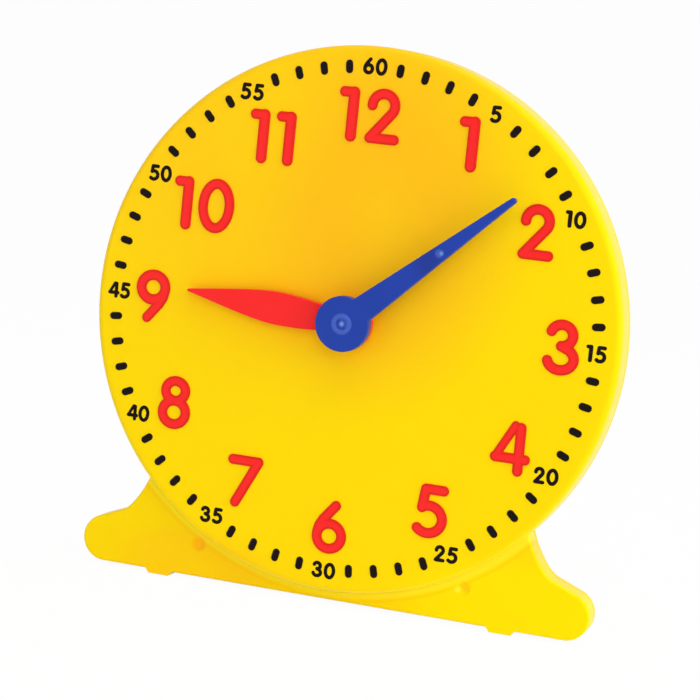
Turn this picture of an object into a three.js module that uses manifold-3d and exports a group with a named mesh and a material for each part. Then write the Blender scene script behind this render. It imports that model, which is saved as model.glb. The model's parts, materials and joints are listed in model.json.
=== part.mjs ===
// A small geared teaching clock: a round yellow dial on a lobed stand, with a red hour hand and a blue minute
// hand joined by a 12 to 1 train of plastic gears behind the dial.
// Millimetres. X runs to the right of the dial as it is read, Z runs up and the dial faces -Y.
// Every piece is drawn about the middle of the dial's front face, and a depth is a distance behind that face.
import * as THREE from "three";
import { mergeVertices } from "three/addons/utils/BufferGeometryUtils.js";
import Module from "manifold-3d";

const wasm = await Module();
wasm.setup();

const DEGREE = Math.PI / 180;

// The time shown, as a share of the hour hand's round, which turns every gear and hand on from twelve o'clock
const TIME_SHOWN_SHARE = 0.76125;

// Front case
const DIAL_RADIUS = 50;
const CASE_WALL = 1.6;
const DIAL_EDGE_ROUND = 1.3;
const STAND_SETBACK = 2.3;
const STAND_EDGE_ROUND = 0.5;
const STAND_INSIDE_DIAL = 0.5;
const BASE_BELOW_DIAL = 2;
const LOBE_RADIUS = 4.4;
const LOBE_SLOPE = 22 * DEGREE;
const SLOPE_LENGTH = 4.7;
const BEND_RADIUS = 5;
const BEND_TURN = 27.5 * DEGREE;
const SWEEP_RADIUS = 19;
const DIMPLE_RADIUS = 1.35;
const DIMPLE_DEPTH = 0.5;
const PAD_HALF_WIDTH = 2;
const PAD_TOP_HALF_WIDTH = 3.3;

// Rear cover
const COVER_THICKNESS = 1.7;
const COVER_EDGE_ROUND = 0.6;
const SEAM = 0.1;
const LIP_CLEARANCE = 0.25;
const LIP_THICKNESS = 1;
const LIP_HEIGHT = 1;

// Numerals and minute marks, which stand a little proud of the dial
const NUMERAL_HEIGHT = 9.95;
const NUMERAL_STROKE = 1.9;
const NUMERAL_RELIEF = 0.3;
const MARK_LENGTH = 2.45;
const MARK_WIDTH = 1.35;
const MARK_RELIEF = 0.12;
const MARKS_BELOW_RIM = 4.05;
const MINUTES = 60;
const MINUTES_PER_NUMERAL = 5;

// Hands
const HAND_LIFT = 0.7;
const HOUR_HAND_THICKNESS = 1.7;
const HOUR_HAND_LENGTH = 31.4;
const HOUR_HAND_HALF_WIDTH = 3;
const HOUR_HUB_RADIUS = 4.7;
const MINUTE_HAND_THICKNESS = 2.1;
const MINUTE_HAND_LENGTH = 39;
const MINUTE_HAND_HALF_WIDTH = 2.65;
const MINUTE_TIP_RADIUS = 0.55;
const MINUTE_ARM_THICKNESS = 1.5;
const MINUTE_HUB_RADIUS = 5.05;
const HUB_RING_RADIUS = 1.9;
const HUB_RING_RELIEF = 0.15;
const HUB_PIT_RADIUS = 1;
const HUB_PIT_DEPTH = 0.45;
const HUB_DOT_RADIUS = 0.35;
const HUB_DOT_HEIGHT = 0.25;
const GATE_MARK_RADIUS = 0.7;
const GATE_MARK_DEPTH = 0.2;
const GATE_MARK_PLACE = 22.3;
const SPACER_THICKNESS = 0.3;
const SPACER_GAP = 0.1;
const SPACER_RADIUS = 3.8;

// Gear train: minute pinion to idler wheel, idler pinion to hour wheel
const GEAR_MODULE = 0.7;
const PRESSURE_ANGLE = 25 * DEGREE;
const ADDENDUM_SHARE = 0.8;
const DEDENDUM_SHARE = 1.1;
const BACKLASH = 0.12;
const MINUTE_PINION_TEETH = 15;
const IDLER_WHEEL_TEETH = 45;
const IDLER_PINION_TEETH = 12;
const HOUR_WHEEL_TEETH = 48;
const WHEEL_CLEARANCE = 0.4;
const WHEEL_THICKNESS = 1.4;
const PLANE_GAP = 0.35;

// Shafts and their fits
const ARBOR_RADIUS = 1.85;
const RUNNING_GAP = 0.15;
const SEAT_GAP = 0.1;
const PIPE_WALL = 1.2;
const PIPE_SEAT_WALL = 0.75;
const SEAT_FLAT_DEPTH = 0.3;
const ARBOR_SEAT_RADIUS = 1.6;
const ARBOR_JOURNAL_RADIUS = 2.2;
const COLLAR_RADIUS = 4.2;
const COLLAR_THICKNESS = 0.45;
const SOCKET_ROOF = 0.8;
const WASHER_ROOM = 0.75;
const WASHER_RADIUS = 4.6;
const WASHER_THICKNESS = 0.3;
const WASHER_RISE = 0.25;
const POST_RADIUS = 1.5;
const POST_BOSS_WALL = 1.5;
const POST_BOSS_RELIEF = 0.25;
const POST_SOCKET_DEPTH = 0.8;

// Screws and the bosses that they hold in
const SCREW_RADIUS = 0.95;
const SCREW_HEAD_RADIUS = 1.9;
const SCREW_HEAD_HEIGHT = 0.8;
const SCREW_TIP = 0.6;
const SCREW_SLOT_WIDTH = 0.5;
const SCREW_SLOT_DEPTH = 0.4;
const SCREW_SLOT_HALF_LENGTH = 1.1;
const SCREW_HOLE_GAP = 0.2;
const COUNTERBORE_DEPTH = 0.9;
const BOSS_RADIUS = 2.7;
const BOSS_FLOOR = 0.8;
const BOSSES_BELOW_RIM = 7;
const DIAL_BOSS_ANGLES = [45, 135, 225, 315].map((angle) => angle * DEGREE);

// Rear feet, which run back from the cover and keep the case upright on its own two pads
const FEET_INSIDE_LOBES = 11.6;
const FOOT_REACH = 40;
const SOLE_HALF_WIDTH = 2.1;
const SOLE_TOP_HALF_WIDTH = 2.5;
const SOLE_DROP = 0.8;
const SOLE_HEIGHT = 2.6;
const BRACKET_THICKNESS = 2;
const BRACKET_HEIGHT = 11;
const BRACKET_MARGIN = 3.9;
const BRACKET_CORNER = 3;
const GUSSET_THICKNESS = 2;
const GUSSET_TOP_DROP = 1;
const GUSSET_END_SETBACK = 3;
const FOOT_SCREW_INSIDE_FOOT = 7.65;
const FOOT_SCREW_HEIGHT = 6.3;
const PEG_RADIUS = 1.4;
const PEG_LENGTH = 1.2;

// How far a cutting tool runs past what it cuts
const OVERRUN = 1;

// Facets of round shapes. An arc of a drawn shape has twice as many facets as its steps.
const DIAL_SIDES = 72;
const HUB_SIDES = 36;
const SHAFT_SIDES = 24;
const BOSS_SIDES = 14;
const SCREW_SIDES = 10;
const NUMERAL_STEPS = 11;
const STAND_STEPS = 4;
const LEAF_STEPS = 6;
const CORNER_STEPS = 3;
const SMALL_STEPS = 1;
const EDGE_STEPS = 3;
const CAP_STEPS = 5;

// Depths along the shaft, from the front of the minute hand to the back of the cover
const HOUR_HAND_BACK = -HAND_LIFT;
const HOUR_HAND_FRONT = HOUR_HAND_BACK - HOUR_HAND_THICKNESS;
const SPACER_BACK = HOUR_HAND_FRONT - SPACER_GAP;
const SPACER_FRONT = SPACER_BACK - SPACER_THICKNESS;
const MINUTE_HAND_BACK = SPACER_FRONT - SPACER_GAP;
const MINUTE_HAND_FRONT = MINUTE_HAND_BACK - MINUTE_HAND_THICKNESS;
const HUB_RING_FRONT = MINUTE_HAND_FRONT - HUB_RING_RELIEF;
const HOUR_PLANE_FRONT = CASE_WALL + WHEEL_CLEARANCE;
const HOUR_PLANE_BACK = HOUR_PLANE_FRONT + WHEEL_THICKNESS;
const MINUTE_PLANE_FRONT = HOUR_PLANE_BACK + PLANE_GAP;
const MINUTE_PLANE_BACK = MINUTE_PLANE_FRONT + WHEEL_THICKNESS;
const COLLAR_FRONT = MINUTE_PLANE_BACK + SEAT_GAP;
const COLLAR_BACK = COLLAR_FRONT + COLLAR_THICKNESS;
const COVER_FRONT = COLLAR_BACK + WASHER_ROOM;
const COVER_BACK = COVER_FRONT + COVER_THICKNESS;
const CASE_DEPTH = COVER_FRONT - SEAM;
const STAND_INNER = STAND_SETBACK + CASE_WALL;

// Radii about the shaft
const PIPE_BORE = ARBOR_RADIUS + RUNNING_GAP;
const PIPE_RADIUS = PIPE_BORE + PIPE_WALL;
const PIPE_SEAT_RADIUS = PIPE_BORE + PIPE_SEAT_WALL;
const DIAL_BORE = PIPE_RADIUS + RUNNING_GAP;
const IDLER_BORE = POST_RADIUS + RUNNING_GAP;
const POST_HOLE = POST_RADIUS + SEAT_GAP;
const POST_BOSS_RADIUS = POST_HOLE + POST_BOSS_WALL;
const GEAR_DISTANCE = (GEAR_MODULE * (MINUTE_PINION_TEETH + IDLER_WHEEL_TEETH)) / 2;

// Heights from the dial's centre
const BASE_Z = -(DIAL_RADIUS + BASE_BELOW_DIAL);
const FLOOR_Z = BASE_Z - SOLE_DROP;
const FOOT_SCREW_Z = BASE_Z + FOOT_SCREW_HEIGHT;
const LOBE_X = DIAL_RADIUS - STAND_INSIDE_DIAL - LOBE_RADIUS;
const LOBE_Z = BASE_Z + LOBE_RADIUS;
const FOOT_X = LOBE_X - FEET_INSIDE_LOBES;
const FOOT_SCREW_X = FOOT_X - FOOT_SCREW_INSIDE_FOOT;

// Half of the hour hand's outline, as shares of its half width and of its length
const LEAF_SHARES = {
  root: [0.5, 0],
  shoulder: [0.983, 0.223],
  belly: [1, 0.43],
  taper: [1, 0.557],
  nose: [0.563, 0.736],
  point: [0.09, 0.99],
};

// Where each digit's middle lies, as shares of the dial's radius to the right and up
const DIGIT_PLACE_SHARES = [
  ["numeral_1", 1, 0.3685, 0.6866],
  ["numeral_2", 2, 0.6563, 0.4054],
  ["numeral_3", 3, 0.7887, 0.012],
  ["numeral_4", 4, 0.6473, -0.3674],
  ["numeral_5", 5, 0.3787, -0.6416],
  ["numeral_6", 6, 0.0053, -0.758],
  ["numeral_7", 7, -0.3449, -0.6422],
  ["numeral_8", 8, -0.6479, -0.3866],
  ["numeral_9", 9, -0.7761, -0.0018],
  ["numeral_10_tens", 1, -0.6915, 0.3602],
  ["numeral_10_units", 0, -0.5577, 0.3614],
  ["numeral_11_tens", 1, -0.4199, 0.635],
  ["numeral_11_units", 1, -0.3181, 0.6356],
  ["numeral_12_tens", 1, -0.0875, 0.7492],
  ["numeral_12_units", 2, 0.0489, 0.7518],
];

// The middle line of each digit's strokes, as shares of that line's height, from its lower left corner.
// A ring and a stroke both begin with their weight, a share of the stroke width. A ring is then a closed
// ellipse: centre and radii. A stroke is then a run of points and arcs, and an arc is its centre, its radii
// and its start and end angles in degrees.
const DIGIT_SHARES = {
  0: { rings: [[1, 0.321, 0.507, 0.322, 0.507]], strokes: [] },
  1: {
    rings: [],
    strokes: [
      [1, [0, 0.975], [0.229, 0.975]],
      [1.1, [0.229, 0.975], [0.229, 0]],
    ],
  },
  2: {
    rings: [],
    strokes: [
      [1, [0.265, 0.737, 0.264, 0.262, 182, -39], [0.003, 0]],
      [1, [0.003, 0], [0.575, 0]],
    ],
  },
  3: {
    rings: [],
    strokes: [
      [1, [0.268, 0.766, 0.25, 0.235, 162, -88]],
      [1, [0.277, 0.531], [0.288, 0.25, 0.298, 0.25, 60, -165]],
    ],
  },
  4: {
    rings: [],
    strokes: [
      [1, [0, 0.271], [0.682, 0.271]],
      [1, [0.526, 0.972], [0.539, 0]],
      [0.84, [0.397, 1.015], [0, 0.271]],
    ],
  },
  5: {
    rings: [],
    strokes: [
      [1, [0.122, 0.998], [0.54, 0.998]],
      [1, [0.122, 0.998], [0.071, 0.569]],
      [1, [0.235, 0.313, 0.329, 0.313, 109, -136]],
    ],
  },
  6: {
    rings: [[1, 0.293, 0.287, 0.294, 0.288]],
    strokes: [[1, [0.391, 1.004], [0.12, 0.664], [0.035, 0.51], [0.003, 0.36]]],
  },
  7: {
    rings: [],
    strokes: [
      [1, [0, 0.987], [0.631, 0.987]],
      [1, [0.631, 0.987], [0.143, 0]],
    ],
  },
  8: {
    rings: [
      [1, 0.286, 0.274, 0.287, 0.274],
      [1, 0.281, 0.779, 0.245, 0.229],
    ],
    strokes: [],
  },
  9: {
    rings: [[1.05, 0.296, 0.713, 0.297, 0.287]],
    strokes: [[1, [0.198, 0], [0.47, 0.34], [0.56, 0.5], [0.592, 0.65]]],
  },
};

const YELLOW = new THREE.MeshStandardMaterial({ color: 0xffd60a, roughness: 0.35 });
const RED = new THREE.MeshStandardMaterial({ color: 0xf5232b, roughness: 0.35 });
const BLUE = new THREE.MeshStandardMaterial({ color: 0x2341a5, roughness: 0.35 });
const WHITE = new THREE.MeshStandardMaterial({ color: 0xf1efe8, roughness: 0.55 });
const STEEL = new THREE.MeshStandardMaterial({ color: 0xb9bcc0, roughness: 0.35, metalness: 1 });

// The solid inside a closed geometry, whose shared corners are merged and whose collapsed faces are dropped
function solidOf(geometry) {
  const bare = geometry.index ? geometry.toNonIndexed() : geometry.clone();
  bare.deleteAttribute("normal");
  bare.deleteAttribute("uv");
  const merged = mergeVertices(bare);
  const corners = merged.index.array;
  const faces = [];
  for (let i = 0; i < corners.length; i += 3) {
    const [a, b, c] = [corners[i], corners[i + 1], corners[i + 2]];
    if (a !== b && b !== c && c !== a) faces.push(a, b, c);
  }
  return new wasm.Manifold(
    new wasm.Mesh({
      numProp: 3,
      vertProperties: merged.attributes.position.array,
      triVerts: new Uint32Array(faces),
    }),
  );
}

// A named mesh of a solid
function piece(name, solid, material) {
  const { vertProperties, triVerts } = solid.getMesh();
  const geometry = new THREE.BufferGeometry();
  geometry.setAttribute("position", new THREE.BufferAttribute(vertProperties, 3));
  geometry.setIndex(new THREE.BufferAttribute(triVerts, 1));
  geometry.computeVertexNormals();
  const mesh = new THREE.Mesh(geometry, material);
  mesh.name = name;
  return mesh;
}

function joined(solids) {
  return solids.reduce((whole, solid) => whole.add(solid));
}

function cut(solid, tools) {
  return tools.reduce((rest, tool) => rest.subtract(tool), solid);
}

// A flat shape drawn in x and z, carried from a front depth to a back depth
function prism(shape, front, back, curveSegments = CORNER_STEPS) {
  const geometry = new THREE.ExtrudeGeometry(shape, {
    depth: back - front,
    bevelEnabled: false,
    curveSegments,
  });
  geometry.rotateX(Math.PI / 2);
  geometry.translate(0, back, 0);
  return solidOf(geometry);
}

// A prism with one rounded end: it is drawn too long with both ends rounded, and the other end is trimmed
function roundedPrism(outline, front, back, round, roundAtFront) {
  const low = roundAtFront ? front : front - 2 * round;
  const high = roundAtFront ? back + 2 * round : back;
  const geometry = new THREE.ExtrudeGeometry(outline(0), {
    depth: high - low - 2 * round,
    bevelThickness: round,
    bevelSize: round,
    bevelOffset: -round,
    bevelSegments: 2,
  });
  geometry.rotateX(Math.PI / 2);
  geometry.translate(0, high - round, 0);
  const waste = roundAtFront
    ? prism(outline(-round), back, high + OVERRUN)
    : prism(outline(-round), low - OVERRUN, front);
  return solidOf(geometry).subtract(waste);
}

// A solid turned about the shaft, from pairs of radius and depth that close on themselves or on the shaft
function turned(profile, sides) {
  const points = profile.map(([radius, depth]) => new THREE.Vector2(radius, depth));
  const ordered = THREE.ShapeUtils.area(points) > 0 ? points : points.reverse();
  const closed = ordered.every((point) => point.x > 0);
  return solidOf(new THREE.LatheGeometry(closed ? [...ordered, ordered[0]] : ordered, sides));
}

function cylinder(radius, front, back, sides, x = 0, z = 0) {
  const body = turned([[0, front], [radius, front], [radius, back], [0, back]], sides);
  return body.translate([x, 0, z]);
}

function ring(inner, outer, front, back, sides) {
  return turned([[inner, front], [outer, front], [outer, back], [inner, back]], sides);
}

// A disc whose rim is rounded at its front or at its back
function roundedDisc(radius, front, back, round, roundAtFront) {
  const rim = Array.from({ length: EDGE_STEPS + 1 }, (_, i) => {
    const angle = (i * Math.PI) / (2 * EDGE_STEPS);
    const reach = radius - round + round * Math.sin(angle);
    const lift = round - round * Math.cos(angle);
    return [reach, roundAtFront ? front + lift : back - lift];
  });
  const flat = roundAtFront ? back : front;
  const face = roundAtFront ? front : back;
  return turned([[0, face], ...rim, [radius, flat], [0, flat]], DIAL_SIDES);
}

// A circle with a flat on its left and right sides, for a seat that can't turn
function flattedCircle(radius, flat) {
  const corner = Math.acos(flat / radius);
  const shape = new THREE.Shape();
  shape.absarc(0, 0, radius, corner, Math.PI - corner, false);
  shape.absarc(0, 0, radius, Math.PI + corner, 2 * Math.PI - corner, false);
  shape.closePath();
  return shape;
}

function roundedRectangle(left, bottom, right, top, corner) {
  const shape = new THREE.Shape();
  shape.absarc(right - corner, bottom + corner, corner, -Math.PI / 2, 0, false);
  shape.absarc(right - corner, top - corner, corner, 0, Math.PI / 2, false);
  shape.absarc(left + corner, top - corner, corner, Math.PI / 2, Math.PI, false);
  shape.absarc(left + corner, bottom + corner, corner, Math.PI, 1.5 * Math.PI, false);
  shape.closePath();
  return shape;
}

// The stand's outline drawn in by an inset: a flat base, a round lobe at each end, a straight slope, a bend
// and a hollow sweep that ends inside the dial
function standOutline(inset) {
  const lean = Math.PI / 2 - LOBE_SLOPE;
  const bendEnd = lean - BEND_TURN;
  const across = new THREE.Vector2(Math.cos(lean), Math.sin(lean));
  const along = new THREE.Vector2(-across.y, across.x);
  const bend = new THREE.Vector2(LOBE_X, LOBE_Z)
    .addScaledVector(across, LOBE_RADIUS + BEND_RADIUS)
    .addScaledVector(along, SLOPE_LENGTH);
  const outward = new THREE.Vector2(Math.cos(bendEnd), Math.sin(bendEnd));
  const sweep = bend.clone().addScaledVector(outward, SWEEP_RADIUS - BEND_RADIUS);
  const half = new THREE.Path();
  half.absarc(LOBE_X, LOBE_Z, LOBE_RADIUS - inset, -Math.PI / 2, lean, false);
  half.absarc(bend.x, bend.y, BEND_RADIUS + inset, lean + Math.PI, bendEnd + Math.PI, true);
  half.absarc(sweep.x, sweep.y, SWEEP_RADIUS + inset, bendEnd + Math.PI, Math.PI, true);
  const right = half.getPoints(STAND_STEPS);
  const left = right.map((point) => new THREE.Vector2(-point.x, point.y)).reverse();
  return new THREE.Shape([...right, ...left]);
}

// The solid of the whole case outline, dial and stand, drawn in by an inset
function outlineSlab(inset, front, back) {
  const dial = cylinder(DIAL_RADIUS - inset, front, back, DIAL_SIDES);
  return dial.add(prism(standOutline(inset), front, back));
}

// Middles of the bosses that the cover screws and the foot screws hold in
function coverScrewPlaces() {
  const reach = DIAL_RADIUS - BOSSES_BELOW_RIM;
  const onDial = DIAL_BOSS_ANGLES.map((angle) => [reach * Math.sin(angle), reach * Math.cos(angle)]);
  return [...onDial, [-LOBE_X, LOBE_Z], [LOBE_X, LOBE_Z]];
}

function footScrewPlaces() {
  return [
    [-FOOT_SCREW_X, FOOT_SCREW_Z],
    [FOOT_SCREW_X, FOOT_SCREW_Z],
  ];
}

// The depth at which the case's inner face lies behind a point of its outline
function innerFaceAt(x, z) {
  return Math.hypot(x, z) < DIAL_RADIUS ? CASE_WALL : STAND_INNER;
}

// The raised bar of one minute, drawn pointing at the top of the dial
function minuteMark() {
  const [half, middle] = [MARK_WIDTH / 2, DIAL_RADIUS - MARKS_BELOW_RIM];
  const top = middle + MARK_LENGTH / 2;
  const bar = roundedRectangle(-half, top - MARK_LENGTH, half, top, half);
  return prism(bar, -MARK_RELIEF, CASE_WALL / 2, SMALL_STEPS);
}

function minuteMarks() {
  const marks = [];
  for (let minute = 0; minute < MINUTES; minute += 1) {
    const turn = (360 * minute) / MINUTES;
    if (minute % MINUTES_PER_NUMERAL !== 0) marks.push(minuteMark().rotate([0, turn, 0]));
  }
  return marks;
}

// A flared block between two heights, its middle in line with a foot
function flaredShape(x, bottomZ, bottomHalf, topZ, topHalf) {
  return new THREE.Shape([
    new THREE.Vector2(x - bottomHalf, bottomZ),
    new THREE.Vector2(x + bottomHalf, bottomZ),
    new THREE.Vector2(x + topHalf, topZ),
    new THREE.Vector2(x - topHalf, topZ),
  ]);
}

// The small block under the stand that stands on the table in front of a foot
function frontPad(side) {
  const top = BASE_Z + CASE_WALL / 2;
  const shape = flaredShape(side * FOOT_X, FLOOR_Z, PAD_HALF_WIDTH, top, PAD_TOP_HALF_WIDTH);
  return prism(shape, STAND_SETBACK, CASE_DEPTH);
}

function frontCase() {
  const dial = roundedDisc(DIAL_RADIUS, 0, CASE_DEPTH, DIAL_EDGE_ROUND, true);
  const stand = roundedPrism(standOutline, STAND_SETBACK, CASE_DEPTH, STAND_EDGE_ROUND, true);
  const hollows = [
    cylinder(DIAL_RADIUS - CASE_WALL, CASE_WALL, CASE_DEPTH + OVERRUN, DIAL_SIDES),
    prism(standOutline(CASE_WALL), STAND_INNER, CASE_DEPTH + OVERRUN),
  ];
  const shell = cut(dial.add(stand), hollows);
  const places = [...coverScrewPlaces(), ...footScrewPlaces()];
  const bosses = places.map(([x, z]) =>
    cylinder(BOSS_RADIUS, innerFaceAt(x, z) - CASE_WALL / 2, CASE_DEPTH, BOSS_SIDES, x, z),
  );
  const pilots = places.map(([x, z]) =>
    cylinder(SCREW_RADIUS + SEAT_GAP, innerFaceAt(x, z), CASE_DEPTH + OVERRUN, SCREW_SIDES, x, z),
  );
  const postFront = CASE_WALL - POST_SOCKET_DEPTH;
  const postBoss = cylinder(
    POST_BOSS_RADIUS,
    postFront,
    CASE_WALL + POST_BOSS_RELIEF,
    SHAFT_SIDES,
    0,
    -GEAR_DISTANCE,
  );
  const holes = [
    cylinder(DIAL_BORE, -OVERRUN, CASE_WALL + OVERRUN, HUB_SIDES),
    cylinder(POST_HOLE, postFront, CASE_WALL + OVERRUN, SHAFT_SIDES, 0, -GEAR_DISTANCE),
    ...footScrewPlaces().map(([x, z]) =>
      cylinder(DIMPLE_RADIUS, STAND_SETBACK - OVERRUN, STAND_SETBACK + DIMPLE_DEPTH, BOSS_SIDES, x, z),
    ),
  ];
  const body = joined([shell, ...bosses, postBoss, frontPad(-1), frontPad(1), ...minuteMarks()]);
  return cut(body, [...pilots, ...holes]);
}

function rearCover() {
  const dial = roundedDisc(DIAL_RADIUS, COVER_FRONT, COVER_BACK, COVER_EDGE_ROUND, false);
  const stand = roundedPrism(standOutline, COVER_FRONT, COVER_BACK, COVER_EDGE_ROUND, false);
  const lipInset = CASE_WALL + LIP_CLEARANCE;
  const lipFront = COVER_FRONT - LIP_HEIGHT;
  const lipBack = COVER_FRONT + COVER_THICKNESS / 2;
  const lip = outlineSlab(lipInset, lipFront, lipBack).subtract(
    outlineSlab(lipInset + LIP_THICKNESS, lipFront - OVERRUN, COVER_FRONT),
  );
  const places = [...coverScrewPlaces(), ...footScrewPlaces()];
  const bossRooms = places.map(([x, z]) =>
    cylinder(BOSS_RADIUS + LIP_CLEARANCE, lipFront - OVERRUN, COVER_FRONT, BOSS_SIDES, x, z),
  );
  const postBoss = cylinder(
    POST_BOSS_RADIUS,
    MINUTE_PLANE_BACK + WHEEL_CLEARANCE,
    lipBack,
    SHAFT_SIDES,
    0,
    -GEAR_DISTANCE,
  );
  const postHole = cylinder(
    POST_HOLE,
    MINUTE_PLANE_BACK,
    COVER_FRONT + POST_SOCKET_DEPTH,
    SHAFT_SIDES,
    0,
    -GEAR_DISTANCE,
  );
  const holeRadius = SCREW_RADIUS + SCREW_HOLE_GAP;
  const holes = places.map(([x, z]) =>
    cylinder(holeRadius, lipFront - OVERRUN, COVER_BACK + OVERRUN, SCREW_SIDES, x, z),
  );
  const counterbores = coverScrewPlaces().map(([x, z]) =>
    cylinder(
      SCREW_HEAD_RADIUS + SCREW_HOLE_GAP,
      COVER_BACK - COUNTERBORE_DEPTH,
      COVER_BACK + OVERRUN,
      BOSS_SIDES,
      x,
      z,
    ),
  );
  const pegHoles = [-1, 1].map((side) =>
    cylinder(
      PEG_RADIUS + SEAT_GAP,
      COVER_BACK - PEG_LENGTH - SEAT_GAP,
      COVER_BACK + OVERRUN,
      BOSS_SIDES,
      side * FOOT_X,
      FOOT_SCREW_Z,
    ),
  );
  const bore = cylinder(
    ARBOR_JOURNAL_RADIUS + RUNNING_GAP,
    COVER_FRONT - OVERRUN,
    COVER_BACK + OVERRUN,
    SHAFT_SIDES,
  );
  const body = joined([dial, stand, cut(lip, bossRooms), postBoss]);
  return cut(body, [...holes, ...counterbores, ...pegHoles, postHole, bore]);
}

// The points of one stroke: plain points, and arcs sampled between their two angles
function strokePoints(items, scale) {
  return items.flatMap((item) => {
    if (item.length === 2) return [new THREE.Vector2(item[0] * scale, item[1] * scale)];
    const [x, z, across, up, from, to] = item;
    const curve = new THREE.EllipseCurve(
      x * scale,
      z * scale,
      across * scale,
      up * scale,
      from * DEGREE,
      to * DEGREE,
      to < from,
    );
    return curve.getPoints(NUMERAL_STEPS);
  });
}

// The outline of a round-ended stroke of even width that follows a smooth run of points
function strokeShape(points, half) {
  const last = points.length - 1;
  const headings = points.map((point, i) => {
    const [before, after] = [points[Math.max(i - 1, 0)], points[Math.min(i + 1, last)]];
    return Math.atan2(after.y - before.y, after.x - before.x);
  });
  const offset = (i, turn) =>
    new THREE.Vector2(
      points[i].x + half * Math.cos(headings[i] + turn),
      points[i].y + half * Math.sin(headings[i] + turn),
    );
  const capAt = (i, from) =>
    Array.from({ length: CAP_STEPS - 1 }, (_, step) =>
      offset(i, from + ((step + 1) * Math.PI) / CAP_STEPS),
    );
  const right = points.map((_, i) => offset(i, -Math.PI / 2));
  const left = points.map((_, i) => offset(i, Math.PI / 2)).reverse();
  return new THREE.Shape([...right, ...capAt(last, -Math.PI / 2), ...left, ...capAt(0, Math.PI / 2)]);
}

function ringShape([x, z, across, up], scale, half) {
  const shape = new THREE.Shape();
  shape.absellipse(x * scale, z * scale, across * scale + half, up * scale + half, 0, 2 * Math.PI);
  const hole = new THREE.Path();
  hole.absellipse(x * scale, z * scale, across * scale - half, up * scale - half, 0, 2 * Math.PI);
  shape.holes.push(hole);
  return shape;
}

// One digit in relief on the dial, its box centred on a place
function digit(figure, x, z) {
  const half = NUMERAL_STROKE / 2;
  const scale = NUMERAL_HEIGHT - NUMERAL_STROKE;
  const { rings, strokes } = DIGIT_SHARES[figure];
  const shapes = [
    ...rings.map(([weight, ...outline]) => ringShape(outline, scale, half * weight)),
    ...strokes.map(([weight, ...items]) => strokeShape(strokePoints(items, scale), half * weight)),
  ];
  const body = joined(shapes.map((shape) => prism(shape, -NUMERAL_RELIEF, 0, NUMERAL_STEPS)));
  const { min, max } = body.boundingBox();
  return body.translate([x - (min[0] + max[0]) / 2, 0, z - (min[2] + max[2]) / 2]);
}

function numerals() {
  return DIGIT_PLACE_SHARES.map(([name, figure, right, up]) =>
    piece(name, digit(figure, right * DIAL_RADIUS, up * DIAL_RADIUS), RED),
  );
}

// A toothed outline with involute flanks. A phase of 0 puts a tooth at the top, and a half puts a gap there.
function gearShape(teeth, phase) {
  const pitch = (GEAR_MODULE * teeth) / 2;
  const base = pitch * Math.cos(PRESSURE_ANGLE);
  const root = pitch - GEAR_MODULE * DEDENDUM_SHARE;
  const tip = pitch + GEAR_MODULE * ADDENDUM_SHARE;
  const roll = (angle) => Math.tan(angle) - angle;
  const halfPitch = ((Math.PI * GEAR_MODULE) / 2 - BACKLASH) / (2 * pitch);
  const halfAt = (radius) =>
    halfPitch + roll(PRESSURE_ANGLE) - roll(Math.acos(Math.min(1, base / radius)));
  const flank = root < base ? [root, base, pitch, tip] : [root, pitch, tip];
  const points = [];
  for (let tooth = 0; tooth < teeth; tooth += 1) {
    const middle = (2 * Math.PI * (tooth + phase)) / teeth;
    const rising = flank.map((radius) => [radius, middle - halfAt(radius)]);
    const falling = flank.map((radius) => [radius, middle + halfAt(radius)]).reverse();
    [...rising, ...falling].forEach(([radius, angle]) =>
      points.push(new THREE.Vector2(radius * Math.sin(angle), radius * Math.cos(angle))),
    );
  }
  return new THREE.Shape(points);
}

// The hour wheel with the pipe that carries the hour hand through the dial
function hourWheel() {
  const shoulder = HOUR_HAND_BACK + SEAT_GAP;
  const body = joined([
    prism(gearShape(HOUR_WHEEL_TEETH, 0), HOUR_PLANE_FRONT, HOUR_PLANE_BACK),
    cylinder(PIPE_RADIUS, shoulder, HOUR_PLANE_BACK, HUB_SIDES),
    prism(
      flattedCircle(PIPE_SEAT_RADIUS, PIPE_SEAT_RADIUS - SEAT_FLAT_DEPTH),
      HOUR_HAND_FRONT,
      HOUR_PLANE_FRONT,
    ),
  ]);
  return body.subtract(
    cylinder(PIPE_BORE, HOUR_HAND_FRONT - OVERRUN, HOUR_PLANE_BACK + OVERRUN, SHAFT_SIDES),
  );
}

function idlerWheel() {
  const hub = POST_BOSS_RADIUS;
  const body = joined([
    prism(gearShape(IDLER_PINION_TEETH, 0.5), HOUR_PLANE_FRONT, MINUTE_PLANE_FRONT + WHEEL_THICKNESS / 2),
    prism(gearShape(IDLER_WHEEL_TEETH, 0.5), MINUTE_PLANE_FRONT, MINUTE_PLANE_BACK),
    cylinder(hub, MINUTE_PLANE_FRONT, MINUTE_PLANE_BACK + WHEEL_CLEARANCE / 2, SHAFT_SIDES),
  ]);
  return body.subtract(
    cylinder(IDLER_BORE, HOUR_PLANE_FRONT - OVERRUN, MINUTE_PLANE_BACK + OVERRUN, SHAFT_SIDES),
  );
}

function minutePinion() {
  const bore = flattedCircle(
    ARBOR_JOURNAL_RADIUS + SEAT_GAP,
    ARBOR_JOURNAL_RADIUS - SEAT_FLAT_DEPTH + SEAT_GAP,
  );
  return prism(gearShape(MINUTE_PINION_TEETH, 0.5), MINUTE_PLANE_FRONT, MINUTE_PLANE_BACK).subtract(
    prism(bore, MINUTE_PLANE_FRONT - OVERRUN, MINUTE_PLANE_BACK + OVERRUN),
  );
}

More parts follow.
